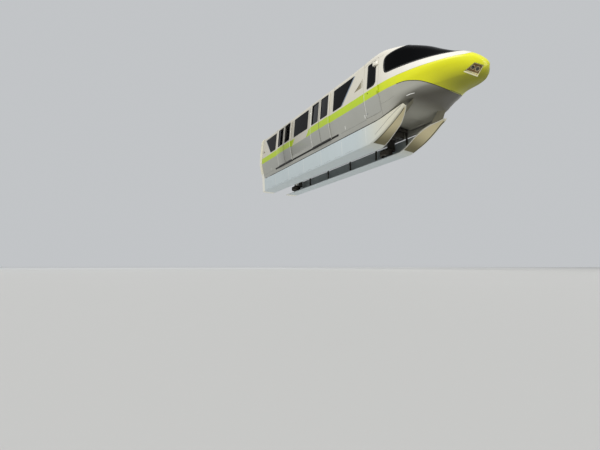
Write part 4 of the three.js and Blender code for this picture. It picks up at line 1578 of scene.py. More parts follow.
@dataclass
class Doors:
    """Sliding leaves over the doorways, each with its own window."""

    hull: Hull
    gap: float = 0.006
    thick: float = 0.03
    reach: float = 2.4
    low: float = -0.034
    top: float = 1.972
    near: float = 1.075
    shoe: Point2 = (-0.0235, -0.0065)
    shoe_depth: float = 0.028
    foot_top: float = 0.06
    leaves: dict[str, Leaf] = field(default_factory=lambda: {
        "inner": Leaf((0.92, 1.6175), (1.021, 1.522), (1.18, 1.5), 0.932, 0.022, 1.6075),
        "outer": Leaf((1.6225, 2.32), (1.721, 2.235), (1.76, 2.08), 2.308, 0.013, 1.6325)})

    def build(self) -> None:
        """Builds the eight leaves out of layers that lie over the wall."""
        face = self.gap + self.thick
        depths = {"skin": (self.gap, face), "glass": (self.gap + 0.012, face - 0.006),
                  "track": (-self.shoe_depth, self.gap + 0.01), "rubber": (self.gap + 0.002, face + 0.003),
                  "inside": (self.gap - 0.0008, self.gap + 0.001)}
        layers = {name: self.hull.layer(*depth, -self.reach, self.reach) for name, depth in depths.items()}
        for s in Side:
            for e in End:
                for name, leaf in self.leaves.items():
                    self.leaf(f"door_{s}_{e}_{name}", leaf, s, e, layers)
        dropped(*layers.values())

    def leaf(self, name: str, leaf: Leaf, s: Side, e: End, layers: Mapping[str, Obj]) -> None:
        """Builds one leaf with its lining, pane, seals, runner and strips: a white strip of painted highlight down its
        edge, and a black foot band that is also painted shade.

        Args:
            name: its body.
            leaf: where its pieces lie.
            s: the side of the car.
            e: the end of the car.
            layers: what its panels are cut from.
        """
        hull, face, beside = self.hull, self.gap + self.thick, across(s, self.near)
        outline = rounded(window(*sorted(e * x for x in leaf.span), self.low, self.top), 0.03, 4)
        hole = rounded(window(*sorted(e * x for x in leaf.pane), WINDOW_LOW, WINDOW_TOP), 0.04, 4)
        skin = hull.panel(prism(outline, *beside), [punch(hole, s)], layers["skin"])
        fitted(skin, f"{name}_leaf", Paint.BODY, name, [name], "body")
        lining = hull.panel(prism(grown(outline, -0.008), *beside), [punch(grown(hole, 0.012), s)],
                            layers["inside"])
        fitted(lining, f"{name}_lining", Paint.LINING, name)
        pane = hull.panel(punch(grown(hole, 0.004), s), source=layers["glass"])
        fitted(pane, f"{name}_glass", Paint.GLASS, name, slot="glass")
        fitted(hull.rim(hole, s, 0.022, 0.005, face), f"{name}_gasket", Paint.GASKET, name)
        shoe = block([e * x for x in leaf.runner], beside, self.shoe)
        fitted(hull.panel(shoe, source=layers["track"]), f"{name}_runner", Paint.TRIM, name)
        # A white strip of painted highlight down the leaf's edge.
        edge = vertical(e * leaf.edge, self.low + self.foot_top, self.top - 0.03)
        fitted(hull.seam(edge, s, leaf.edge_width, 0.003, face), f"{name}_edge_strip", Paint.BRIGHT, name)
        # A black rubber band round the leaf's foot; its black is also painted shade that carries the slot's dark line
        # across the leaf.
        foot = block((e * (leaf.span[0] + 0.008), e * (leaf.span[1] - 0.008)), beside,
                     (self.low - 0.003, self.low + self.foot_top))
        fitted(hull.panel(foot, source=layers["rubber"]), f"{name}_foot_seal", Paint.GASKET, name)
        nosing = vertical(e * leaf.nosing, self.low + 0.03, self.top - 0.03)
        fitted(hull.seam(nosing, s, 0.014, 0.003, face), f"{name}_nosing", Paint.SEAM, name)


@dataclass
class Lamps:
    """Headlamp recesses in the nose: a tub and a lower lip in cream painted light, an olive rim of painted shade on
    the other edges, reflectors with pale bezels of painted glint, and lenses.
    """

    corners: tuple[Point3, ...] = ((8.004, 0.336, 0.493), (8.148, 0.143, 0.393), (7.97, 0.172, 0.139),
                                   (7.734, 0.438, 0.334))
    depth: float = 0.11
    wall: float = 0.012
    plate: float = 0.026
    plate_share: float = 0.8
    bowl_share: float = 0.42
    bowls: tuple[Point2, ...] = ((0.7, 0.062), (0.28, 0.056))
    dish: Line = ((0.0, 0.0), (1.08, 0.0), (1.08, 0.04), (1.0, 0.044), (0.8, 0.02), (0.4, 0.008),
                  (0.0, 0.006))
    lens: Line = ((0.0, 0.012), (0.66, 0.018), (0.7, 0.03), (0.4, 0.044), (0.0, 0.048))

    def place(self, s: Side) -> tuple[Matrix, list[Vector]]:
        """Works out one side's recess frame, with its axis outward.

        Args:
            s: the side.

        Returns:
            The frame's matrix, and the recess's corners in it.
        """
        corners = [Vector((x, s * y, z)) for x, y, z in self.corners]
        way = (corners[1] - corners[0]).normalized()
        out = way.cross(corners[3] - corners[0]).normalized()
        out = out if out.x > 0 else -out
        turn = Matrix((way, out.cross(way), out)).transposed().to_4x4()
        matrix = Matrix.Translation(sum(corners, Vector()) / 4) @ turn
        return matrix, [(matrix.inverted() @ corner).to_2d() for corner in corners]

    def tool(self, s: Side, margin: float, low: float, high: float, share: float = 1.0) -> Obj:
        """Makes a solid over a recess's outline.

        Args:
            s: the side.
            margin: how far the outline is grown.
            low: the solid's lower depth.
            high: its upper depth.
            share: how much of the outline it covers, from above.

        Returns:
            The closed solid.
        """
        matrix, (a, b, c, d) = self.place(s)
        outline = [tuple(p) for p in (a, b, b.lerp(c, share), a.lerp(d, share))]
        made = prism(grown(rounded(outline, 0.015, 3), margin), low, high, "Z")
        made.data.transform(matrix)
        return made

    def pockets(self) -> list[Obj]:
        """Returns the tools that open both recesses."""
        return [self.tool(s, 0.0, -self.depth, 0.4) for s in Side]

    def edge(self, hull: Hull, s: Side, points: Sequence[Vector], width: float) -> Obj:
        """Lays a strip over the cowl's surface beside the recess.

        Args:
            hull: the body.
            s: the side.
            points: the strip's corners in the recess's frame.
            width: the strip's width.

        Returns:
            The strip.
        """
        matrix, _ = self.place(s)
        path: list[Vector] = []
        for a, b in zip(points, points[1:], strict=False):
            for u, v in (a.lerp(b, k / 7) for k in range(8)):
                hit = hull.skin.tree.ray_cast(matrix @ Vector((u, v, 0.3)), -matrix.col[2].to_3d())[0]
                if hit is not None and (not path or (hit - path[-1]).length > 0.004):
                    path.append(hit)
        return hull.strip(path, width, 0.006)

    def build(self, hull: Hull) -> None:
        """Builds what is in both recesses.

        Args:
            hull: the body.
        """
        for s in Side:
            matrix, (a, b, c, d) = self.place(s)
            # The tub's cream is painted light: the lit lower wall of the recess.
            tub = self.tool(s, -0.0006, -self.depth + GAP, 0.3)
            carve(tub, hull.form.closed(-0.006, 7.0), "INTERSECT")
            carve(tub, self.tool(s, -self.wall, -self.depth + 0.014, 0.4))
            fitted(tub, f"lamp_tub_{s}", Paint.LIP, nodes=[f"headlamps_{s}"], slot="lamp")
            floor = self.tool(s, -0.016, -self.depth + 0.015, -self.depth + self.plate, self.plate_share)
            fitted(floor, f"lamp_panel_{s}", Paint.BOWL, slot="lamp")
            rear, front = a.lerp(d, self.bowl_share), b.lerp(c, self.bowl_share)
            # The reflectors' pale bezels are painted glint.
            for piece, profile, sides, paint in (("bowls", self.dish, 40, Paint.BEZEL),
                                                 ("lenses", self.lens, 32, Paint.LENS)):
                made = merged([turned([(r * radius, h) for r, h in profile],
                                      (*rear.lerp(front, share), self.plate - self.depth), "Z", sides)
                               for share, radius in self.bowls])
                made.data.transform(matrix)
                fitted(made, f"lamp_{piece}_{s}", paint, slot="lamp")
            # A cream lip of painted highlight along the recess's lower edge.
            fitted(self.edge(hull, s, (d, c), 0.034), f"lamp_lip_{s}", Paint.LIP, slot="lamp")
            # An olive rim of painted shade along the recess's other edges.
            fitted(self.edge(hull, s, (d, a, b, c), 0.01), f"lamp_rim_{s}", Paint.LINE, slot="lamp")


@dataclass
class Cab:
    """Upper cab, bow, windshield, nose cowl and their seams."""

    hull: Hull
    door: tuple[float, float, float, float] = (4.446, 5.158, 0.012, 1.962)
    door_frame: float = 0.01
    near: float = 1.04
    glass: float = 0.014
    glass_reach: Point2 = (5.2, 7.9)
    bow_end: float = 7.4
    nose_box: Line = ((7.17, -0.5), (8.6, -0.5), (8.6, 1.1))
    door_line: tuple[float, float, float] = (5.19, -0.12, 0.6)
    bow_line: Line = ((5.2, 0.24), (5.55, 0.25), (5.75, 0.3))
    # The bow's step edge, where a white strip of painted glint lies.
    step: Line = ((6.13, 0.165), (6.25, 0.18), (6.35, 0.19))
    cant: Line = ((5.2, 1.93), (5.38, 1.93))
    lamps: Lamps = field(default_factory=Lamps)

    @staticmethod
    def glazing() -> list[Point2]:
        """Returns the windshield's outline with its lower and rear edges as smooth curves."""
        return [*curve_through(SHIELD_SILL), *SHIELD_OVER, *curve_through(SHIELD_REAR)]

    def doorway(self, grow: float) -> list[Point2]:
        """Returns the cab door's outline grown by a margin."""
        x0, x1, z0, z1 = self.door
        return rounded(window(x0 - grow, x1 + grow, z0 - grow, z1 + grow), 0.06)

    def build(self) -> None:
        """Builds the cab's outer panels."""
        wide = (-FAR, FAR)
        cowl = [*curve_through(NOSE_SEAM), *self.nose_box, *reversed(curve_through(BORDER))]
        upper = self.hull.panel(block((CAB_X, FAR), wide, (STRIPE_LOW + GAP, FAR)), [prism(cowl, *wide)])
        carve(upper, prism(self.glazing(), *wide))
        bow = self.hull.panel(block((CAB_X, self.bow_end), wide, (-FAR, STRIPE_LOW)), [prism(cowl, *wide)])
        for s in Side:
            for target in (upper, bow):
                carve(target, punch(self.doorway(self.door_frame), s, self.near))
        for target in (upper, bow):
            self.hull.skin.soften(target)
        fitted(upper, "cab_upper_shell", Paint.CAB, nodes=["cab_shell"], slot="body")
        fitted(bow, "cab_bow", Paint.LOWER, nodes=["bow_shell"], slot="lower_body")
        layer = self.hull.layer(-self.glass, 0.0, *self.glass_reach)
        shield = self.hull.panel(prism(self.glazing(), *wide), source=layer)
        dropped(layer)
        fitted(shield, "windshield_glass", Paint.WINDSHIELD, nodes=["windshield"], slot="glass")
        nose = self.hull.panel(prism(cowl, *wide), self.lamps.pockets())
        fitted(nose, "nose_cowl_skin", Paint.NOSE, nodes=["nose_cowl"], slot="nose")
        self.lamps.build(self.hull)
        self.lines()

    def lines(self) -> None:
        """Builds the windshield's gasket, the nose seam, the border line, the panel lines, and a white strip of
        painted glint on the bow's steps.
        """
        hull = self.hull
        sill, rear = curve_through(SHIELD_SILL), curve_through(SHIELD_REAR)
        edge = self.under_crown([SHIELD_OVER[-1], *rear, *sill, SHIELD_OVER[0]], 0.08)
        fitted(self.both_sides(edge, 0.05, 0.008), "windshield_gasket", Paint.GASKET)
        seam = curve_through(NOSE_SEAM)[::-1]
        fitted(self.both_sides(seam, 0.018, 0.003, False), "nose_seam", Paint.GASKET)
        over = self.under_crown(curve_through(BORDER), 0.02)[::-1]
        fitted(self.both_sides(over, 0.007, 0.0012, False), "nose_border_line", Paint.LINE)
        joints = [hull.hoop(CAB_X + 0.004, 0.012, 0.002, self.door[3] + 0.02),
                  *hull.seams(vertical(*self.door_line), 0.006), *hull.seams(self.bow_line, 0.005)]
        fitted(merged(joints), "cab_panel_lines", Paint.SEAM)
        # A white strip of painted glint along the bow's step edge.
        fitted(merged(hull.seams(self.step, 0.026, 0.01)), "bow_steps", Paint.BRIGHT)
        fitted(merged(hull.seams(self.cant, 0.006)), "cab_cant_lines", Paint.SEAM)

    def under_crown(self, points: Line, margin: float) -> list[Point2]:
        """Returns the points that lie under the body's crown line, or above it by less than the margin."""
        return [p for p in points if p[1] < self.hull.form.table.at(p[0])["zc"] + margin]

    def both_sides(self, line: Line, width: float, height: float, closed: bool = True) -> Obj:
        """Lays one strip down the right side and back up the left, joined over the middle.

        Args:
            line: the strip's line in side view.
            width: its width.
            height: how far it stands proud.
            closed: whether it also joins at its other end.

        Returns:
            The strip.
        """
        right = self.hull.form.follow(line, Side.RIGHT)
        path: list[Vector] = []
        for point in (*right, *[Vector((p.x, -p.y, p.z)) for p in reversed(right)]):
            if not path or (point - path[-1]).length > 0.004:
                path.append(point)
        if not closed:
            half = path[: len(path) // 2]
            path = [Vector((p.x, -p.y, p.z)) for p in reversed(half)] + half
        return self.hull.strip(path, width, height, closed)


@dataclass
class CabDoors:
    """The driver's doors, each with a window, a pod over its front corner, a hinge and a latch."""

    hull: Hull
    cab: Cab
    reach: Point2 = (4.4, 5.3)
    glass: Point2 = (-0.02, -0.004)
    inside: Point2 = (-WALL - 0.0025, -WALL + 0.002)
    pod: Line = ((4.93, 1.2), (5.15, 1.2), (5.15, 1.24), (5.09, 1.29), (5.0, 1.32), (4.94, 1.31))
    pod_z: Point2 = (1.69, 1.83)
    latch: Line = ((4.476, 0.16), (4.546, 0.16))
    lock: Line = ((4.621, 0.84), (4.661, 0.84))
    hinge: Point2 = (5.172, 1.332)
    hinge_z: Point2 = (0.66, 0.9)
    pin: float = 0.01
    bore: float = 0.0108
    sleeve: float = 0.018
    web: float = 0.024
    gap: float = 0.006

    def build(self) -> None:
        """Builds both doors."""
        hole = rounded(CAB_WINDOW, 0.05)
        glass = self.hull.layer(*self.glass, *self.reach)
        inside = self.hull.layer(*self.inside, *self.reach)
        x0, _, z0, _ = self.cab.door
        for s in Side:
            name = f"cab_door_{s}"
            panel = self.hull.panel(punch(self.cab.doorway(0.0), s, self.cab.near), [punch(hole, s)])
            fitted(panel, f"{name}_panel", Paint.CAB, name, [name], "body")
            sheet = self.hull.panel(punch(self.cab.doorway(-0.01), s, self.cab.near),
                                    [punch(grown(hole, 0.012), s)], inside)
            fitted(sheet, f"{name}_lining", Paint.LINING, name)
            pane = self.hull.panel(punch(grown(hole, 0.003), s), source=glass)
            fitted(pane, f"{name}_glass", Paint.GLASS, name, slot="glass")
            fitted(self.hull.rim(hole, s, 0.042, 0.007), f"{name}_gasket", Paint.GASKET, name)
            pod = prism([(x, s * y) for x, y in self.pod], *self.pod_z, "Z")
            fitted(bevelled(pod, 0.022, 4), f"{name}_pod", Paint.CAB, name)
            # A white strip of painted highlight down the door's rear edge.
            edge = self.hull.seam(vertical(x0 + 0.012, z0 + 0.08, 0.9), s, 0.016, 0.004)
            fitted(edge, f"{name}_edge_strip", Paint.BRIGHT, name)
            fitted(self.hull.seam(self.latch, s, 0.034, 0.012), f"{name}_latch", Paint.TRIM, name)
            fitted(self.hull.seam(self.lock, s, 0.036, 0.006), f"{name}_lock", Paint.GASKET, name)
            self.knuckles(name, s)
        dropped(glass, inside)

    def knuckles(self, name: str, s: Side) -> None:
        """Builds one door's hinge: lugs and pin on the cab, sleeve and tab on the door.

        Args:
            name: the door's body.
            s: the side.
        """
        x, y = self.hinge
        low, top = self.hinge_z
        axis = (x, s * y, 0.0)
        pin = turned([(0.0, low), (self.pin, low), (self.pin, top), (0.0, top)], axis, sides=24)
        lugs = [bevelled(block((x - 0.004, x + 0.034), (s * 1.27, s * y), z), 0.004)
                for z in ((low, low + self.web), (top - self.web, top))]
        fitted(merged([pin, *lugs]), f"cab_hinge_{s}", Paint.CAB)
        low, top = low + self.web + self.gap, top - self.web - self.gap
        ring = [(self.bore, low), (self.sleeve, low), (self.sleeve, top), (self.bore, top)]
        front = self.cab.door[1]
        root = bevelled(block((front - 0.04, front - 0.004), (s * 1.284, s * (y + 0.01)), (low, top)), 0.004)
        fitted(merged([turned(ring, axis, sides=24), root]), f"{name}_knuckle", Paint.CAB, name)


@dataclass
class Linings:
    """Plain sheets over the inner sides of the walls and the cab, so that the stripe shows outside alone."""

    hull: Hull
    saloon: Saloon
    cab: Cab
    depth: Point2 = (-WALL - 0.0025, -WALL + 0.002)
    near: float = 0.4
    reach: Point2 = (-4.26, 6.9)
    height: Point2 = (0.2, 1.95)
    margin: float = 0.012

    def build(self) -> None:
        """Builds one sheet a side."""
        layer = self.hull.layer(*self.depth, *self.reach)
        for s in Side:
            outlines = [*self.saloon.windows(), self.cab.glazing(), self.cab.doorway(0.01)]
            cuts = [punch(grown(points, self.margin), s) for points in outlines]
            cuts += self.saloon.doorways(s, self.margin)
            sheet = self.hull.panel(block(self.reach, across(s, self.near), self.height), cuts, layer)
            fitted(sheet, f"wall_lining_{s}", Paint.LINING)
        dropped(layer)


@dataclass
class Skirts:
    """The long lower skirts, swept up at the front."""

    wall: float = 0.03
    round_edge: float = 0.07
    steps: int = 10
    rear: float = -4.27
    tip: float = 6.03
    curved: float = 4.4
    joints: tuple[float, ...] = (-2.9, -1.45, 0.0, 1.45, 2.9, 4.3)
    dashes: tuple[float, ...] = tuple(-4.1 + 0.72 * i for i in range(11))
    dash: float = 0.45
    hem_start: float = 4.6
    hem_length: float = 1.4
    hem_steps: int = 36
    stay_start: float = 5.71
    stay_length: float = 0.31
    stay_head: tuple[Point3, Point3] = ((6.07, 0.614, 0.09), (6.25, 0.783, 0.13))
    stay_steps: int = 8
    bolt: Line = ((0.0, -0.002), (0.009, -0.002), (0.009, 0.002), (0.006, 0.004), (0.0, 0.004))
    bolts: int = 34
    table: Table = field(default_factory=lambda: Table(
        ("x", "yt", "zt", "yo", "zo", "yi", "zi"),
        (
            (-4.57, 1.13, -0.232, 1.085, -0.95, 0.45, -0.95),
            (4.4, 1.13, -0.232, 1.085, -0.95, 0.45, -0.95),
            (4.52, 1.13, -0.232, 1.085, -0.925, 0.455, -0.915),
            (4.77, 1.13, -0.232, 1.085, -0.845, 0.465, -0.805),
            (5.06, 1.129, -0.216, 1.085, -0.74, 0.475, -0.62),
            (5.39, 1.124, -0.172, 1.078, -0.58, 0.52, -0.43),
            (5.71, 1.108, -0.118, 1.06, -0.39, 0.68, -0.26),
            (5.9, 1.096, -0.084, 1.05, -0.262, 0.82, -0.18),
            (6.03, 1.085, -0.062, 1.046, -0.176, 0.92, -0.115),
        )))

    def reach(self, row: Mapping[str, float]) -> float:
        """Returns how far the lower edge is rounded at a row, less where the skirt is low."""
        return min(self.round_edge, 0.35 * (row["zt"] - row["zo"]))

    def section(self, x: float, s: Side, top: float | None = None) -> list[Point3]:
        """Works out the skirt's closed section at a place along the car.

        Args:
            x: the place.
            s: the side.
            top: the height of the upper edge, the table's if not given.

        Returns:
            The section's points.
        """
        r = self.table.at(x)
        zt = r["zt"] if top is None else top
        t, reach = self.wall, self.reach(r)
        outer = bend((r["yi"], r["zi"]), (r["yo"], r["zo"]), (r["yt"], zt), reach, self.steps)
        inner = bend((r["yi"], r["zi"] + t), (r["yo"] - t, r["zo"] + t), (r["yt"] - t, zt), reach, self.steps)
        ring = [(r["yi"], r["zi"]), *outer, (r["yt"], zt), (r["yt"] - t, zt), *reversed(inner),
                (r["yi"], r["zi"] + t)]
        return [(x, s * y, z) for y, z in ring]

    def form(self, s: Side, first: float, last: float, top: float | None = None) -> Obj:
        """Makes the skirt over a length of the car.

        Args:
            s: the side.
            first: where it starts.
            last: where it ends.
            top: the height of the upper edge, the table's if not given.

        Returns:
            The closed skirt.
        """
        rings = [self.section(x, s, top) for x in stations(first, last, self.curved)]
        return smoothed(outward(loft(rings)), 35)

    def point(self, x: float, share: float, s: Side) -> tuple[Vector, Vector]:
        """Finds a place on the outer face.

        Args:
            x: the place along the car.
            share: the share of the way up.
            s: the side.

        Returns:
            The point, and its outward normal.
        """
        r = self.table.at(x)
        low, top = Vector((s * r["yo"], r["zo"])), Vector((s * r["yt"], r["zt"]))
        p = low.lerp(top, share)
        up = top - low
        return Vector((x, p.x, p.y)), (Vector((0.0, up.y, -up.x)) * s).normalized()

    def line(self, places: Line, s: Side, width: float, height: float) -> Obj:
        """Lays a strip over the outer face along (x, share) places."""
        points, normals = zip(*[self.point(x, share, s) for x, share in places], strict=True)
        return bead(points, normals, width, height, False, 4)

    def hem(self, s: Side) -> None:
        """Builds the front return's face in painted shade and painted warm bounce light, the crease where it starts,
        and a white rim of painted highlight on its inner edge.

        Args:
            s: the side.
        """
        rings, starts, ends, facing = [], [], [], []
        for i in range(self.hem_steps + 1):
            x = self.hem_start + self.hem_length * i / self.hem_steps
            r = self.table.at(x)
            outer, inner = Vector((x, s * r["yo"], r["zo"])), Vector((x, s * r["yi"], r["zi"]))
            way = (inner - outer).normalized()
            down = Vector((0.0, -way.z, way.y)) * s
            start = outer + way * self.reach(r) * 1.1
            rings.append([start, inner, inner + down * 0.004, start + down * 0.004])
            starts.append(start + down * 0.003)
            ends.append(inner - way * 0.014 + down * 0.003)
            facing.append(down)
        # A sheet over the return, painted shade at the back and painted warm bounce light near the tip.
        fitted(smoothed(outward(loft(rings)), 40), f"skirt_return_{s}", Paint.RETURN)
        fitted(bead(starts, facing, 0.05, 0.004, False, 4), f"skirt_crease_{s}", Paint.CREASE)
        # A white rim of painted highlight along the return's inner edge.
        fitted(bead(ends, facing, 0.026, 0.005, False, 4), f"skirt_rim_{s}", Paint.BRIGHT)

    def stay(self, s: Side) -> Obj:
        """Makes the web from the inner edge near the tip up to the bow's underside.

        Args:
            s: the side.

        Returns:
            The closed web.
        """
        rings = []
        thick = Vector((0.016, s * 0.016, 0.0))
        for i in range(self.stay_steps + 1):
            t = i / self.stay_steps
            row = self.table.at(self.stay_start + self.stay_length * t)
            foot = Vector((row["x"], s * (row["yi"] + 0.01), row["zi"] + 0.004))
            head = Vector(self.stay_head[0]).lerp(Vector(self.stay_head[1]), t)
            head.y *= s
            rings.append([foot, head, head - thick, foot - thick])
        return smoothed(outward(loft(rings)), 35)

    def build(self) -> None:
        """Builds both skirts with their joints, hem, stay and fasteners."""
        tip = self.table.at(self.tip)
        low, foot, top = ((tip[y], tip[z]) for y, z in (("yi", "zi"), ("yo", "zo"), ("yt", "zt")))
        for s in Side:
            skin = self.form(s, self.rear, self.tip)
            fitted(skin, f"skirt_skin_{s}", Paint.SKIRT, nodes=[f"skirt_{s}"], slot="skirt")
            joints = [self.line([(x, 0.16), (x, 0.6), (x, 0.97)], s, 0.01, 0.003) for x in self.joints]
            fitted(merged(joints), f"skirt_joints_{s}", Paint.BRIGHT)
            dashes = [self.line([(x, 0.12), (x + self.dash, 0.12)], s, 0.006, 0.0015) for x in self.dashes]
            fitted(merged(dashes), f"skirt_dashes_{s}", Paint.SEAM)
            self.hem(s)
            outline = [(s * y, z) for y, z in (low, *bend(low, foot, top, self.round_edge, 4), top)]
            plate = prism(outline, self.tip - 0.03, self.tip + 0.02, "X")
            fitted(bevelled(plate, 0.014, 3), f"skirt_tip_{s}", Paint.SKIRT)
            fitted(self.stay(s), f"skirt_stay_{s}", Paint.STAY)
            front = self.line([(4.75 + 0.06 * i, 0.3 + 0.025 * i) for i in range(21)], s, 0.012, 0.002)
            fitted(front, f"skirt_front_line_{s}", Paint.SEAM)
            head = turned(self.bolt, ORIGIN, "Y", 10)
            head.data.transform(Matrix.Scale(s, 4, (0, 1, 0)))
            outward(head)
            first, _ = self.point(-4.1, 0.9, s)
            bolts = Pattern.ROW.lay(head, Paint.TRIM, Count=self.bolts, Start=first, Step=(0.25, 0.0, 0.0))
            fitted(bolts, f"skirt_fasteners_{s}", Paint.TRIM)


@dataclass
class EndBand:
    """The cream band at the rear coupling: a hoop with soft rolls round it, and legs down the skirts."""

    hull: Hull
    skirts: Skirts
    reach: Point2 = (-4.57, -4.2703)
    open_half: float = 1.05
    open_z: float = 0.4
    leg_top: float = -0.18
    foot: float = -0.15
    rolls: tuple[float, ...] = (-4.52, -4.42, -4.32)
    folds: tuple[float, ...] = (-4.47, -4.37, -4.276)

    def build(self) -> None:
        """Builds the band's hoop, legs, rolls and folds."""
        every = (-FAR, FAR)
        opening = block(every, (-self.open_half, self.open_half), (-FAR, self.open_z))
        hoop = self.hull.panel(block(self.reach, every, every), [opening])
        fitted(hoop, "end_band_hoop", Paint.BAND, nodes=["end_band"], slot="band")
        legs = [self.skirts.form(s, *self.reach, self.leg_top) for s in Side]
        fitted(merged(legs), "end_band_legs", Paint.BAND, slot="band")
        rolls = [self.hull.hoop(x, 0.094, 0.02, self.foot) for x in self.rolls]
        fitted(merged(rolls), "end_band_rolls", Paint.BAND, slot="band")
        folds = [self.hull.hoop(x, 0.012, 0.004, self.foot) for x in self.folds]
        fitted(merged(folds), "end_band_folds", Paint.FOLD, slot="band")


@dataclass
class EndWall:
    """The flat wall inside the band: pressed ribs, a hatch with hinges and catch, and cable sockets."""

    face: float = -4.27
    sunk: float = 0.004
    rib: Point2 = (0.44, 1.08)
    hatch: tuple[float, float, float] = (0.36, 0.3, 1.9)
    hinge: Line = ((0.0, -0.05), (0.014, -0.05), (0.014, 0.05), (0.0, 0.05))
    catch_z: Point2 = (1.02, 1.16)
    socket: Line = ((0.0, -0.05), (0.045, -0.05), (0.052, -0.03), (0.052, 0.0), (0.0, 0.0))
    socket_place: Point2 = (-0.36, 0.22)

    def build(self) -> None:
        """Builds the wall's fittings."""
        face, inner = self.face, self.face + self.sunk
        for s in Side:
            rib = bevelled(block((face - 0.014, inner), [s * y for y in self.rib], (-0.03, 0.03)), 0.006)
            laid = Pattern.ROW.lay(rib, Paint.LINING, Count=6, Start=(0.0, 0.0, 0.48), Step=(0.0, 0.0, 0.26))
            fitted(laid, f"end_wall_ribs_{s}", Paint.LINING)
        half, low, top = self.hatch
        leaf = prism(rounded(window(-half, half, low, top), 0.09), face - 0.016, inner, "X")
        fitted(bevelled(leaf, 0.004), "end_wall_hatch", Paint.LINING)
        hinge = turned(self.hinge, (face - 0.018, -half - 0.012, 0.0), sides=16)
        hinges = Pattern.ROW.lay(hinge, Paint.TRIM, Count=3, Start=(0.0, 0.0, 0.5), Step=(0.0, 0.0, 0.58))
        catch = bevelled(block((face - 0.04, face - 0.014), (half - 0.09, half - 0.05), self.catch_z), 0.008)
        fitted(merged([hinges, catch]), "end_wall_hatch_fittings", Paint.TRIM)
        socket = turned(self.socket, (face, *self.socket_place), "X", 28)
        sockets = Pattern.ROW.lay(socket, Paint.CHASSIS, Count=4, Start=ORIGIN, Step=(0.0, 0.24, 0.0))
        fitted(sockets, "end_wall_sockets", Paint.CHASSIS)


@dataclass(frozen=True)
class Wheel:
    """A kind of wheel: half profiles of its tyre and hub, and the ring of bolts on each face."""

    axis: str
    tyre: Line
    tyre_sides: int
    hub: Line
    hub_sides: int
    bolts: int
    bolt_radius: float
    bolt_off: float
    turn: Point3 = ORIGIN
    bolt: Line = ((0.0, -0.014), (0.013, -0.014), (0.013, 0.014), (0.0, 0.014))

    def build(self, name: str, centre: Point3) -> None:
        """Builds one wheel of this kind.

        Args:
            name: its node and body.
            centre: its middle.
        """
        tyre = turned(both_faces(self.tyre), centre, self.axis, self.tyre_sides)
        fitted(tyre, f"{name}_tyre", Paint.TYRE, name, [name], "tyre")
        pieces = [turned(both_faces(self.hub), centre, self.axis, self.hub_sides)]
        for off in (-self.bolt_off, self.bolt_off):
            place = list(centre)
            place["XYZ".index(self.axis)] += off
            head = turned(self.bolt, ORIGIN, sides=6)
            pieces.append(Pattern.RING.lay(head, Paint.HUB, Count=self.bolts, Radius=self.bolt_radius,
                                           Turn=self.turn, Centre=place))
        fitted(merged(pieces), f"{name}_hub", Paint.HUB, name, slot="tyre")


@dataclass
class RunningGear:
    """Load wheels, guide wheels, stabilising wheels and motors."""

    bogie: float = 3.6
    load_z: float = 0.5
    guide_place: Point3 = (0.65, 0.58, -0.24)
    stable_z: float = -0.74
    load: Wheel = Wheel(
        "Y", ((0.292, 0.15), (0.31, 0.182), (0.36, 0.19), (0.44, 0.186), (0.484, 0.168), (0.5, 0.138),
              (0.5, 0.097), (0.488, 0.095), (0.488, 0.085), (0.5, 0.083),
              (0.5, 0.037), (0.488, 0.035), (0.488, 0.025), (0.5, 0.023)), 72,
        ((0.0622, 0.12), (0.11, 0.12), (0.13, 0.075), (0.23, 0.06), (0.262, 0.11), (0.282, 0.148),
         (0.294, 0.148)),
        64, 10, 0.175, 0.082, (math.pi / 2, 0.0, 0.0))
    small: Wheel = Wheel(
        "Z", ((0.168, 0.092), (0.19, 0.1), (0.232, 0.094), (0.25, 0.076), (0.25, 0.034), (0.243, 0.03),
              (0.243, 0.02), (0.25, 0.016)), 56,
        ((0.0316, 0.084), (0.06, 0.084), (0.072, 0.05), (0.14, 0.045), (0.155, 0.088), (0.17, 0.088)),
        48, 6, 0.105, 0.055)
    motor: tuple[Point2, Point2, Point2] = ((-0.28, 0.28), (0.3003, 0.56), (0.32, 0.7))
    inset: float = 0.03
    fin_inset: float = 0.008

    def build(self) -> None:
        """Builds every wheel and motor."""
        dx, y, z = self.guide_place
        for e in End:
            middle = e * self.bogie
            self.load.build(f"load_wheel_{e}", (middle, 0.0, self.load_z))
            self.drive(e)
            for s in Side:
                for place, x in (("a", -dx), ("b", dx)):
                    self.small.build(f"guide_wheel_{e}_{s}_{place}", (middle + x, s * y, z))
                self.small.build(f"stable_wheel_{e}_{s}", (middle, s * y, self.stable_z))

    def drive(self, e: End) -> None:
        """Builds one motor: a rounded casing with cooling fins round its body.

        Args:
            e: its bogie's end.
        """
        (x0, x1), (y0, y1), (z0, z1) = self.motor
        x0, x1, d = e * self.bogie + x0, e * self.bogie + x1, self.inset
        case = bevelled(block((x0 + d, x1 - d), (y0, y1), (z0 + d, z1 - d)), 0.05, 4)
        caps = [bevelled(block((x0, x1), y, (z0, z1)), 0.018, 3)
                for y in ((y0, y0 + 0.03), (y1 - 0.05, y1 - 0.02))]
        d = self.fin_inset
        fin = block((x0 + d, x1 - d), (0.0, 0.005), (z0 + d, z1 - d))
        first, step = (0.0, y0 + 0.042, 0.0), (0.0, 0.018, 0.0)
        fins = Pattern.ROW.lay(fin, Paint.MOTOR, Count=9, Start=first, Step=step)
        fitted(merged([case, *caps, fins]), f"drive_motor_{e}_casing", Paint.MOTOR, f"bogie_{e}",
               [f"drive_motor_{e}"], "motor")


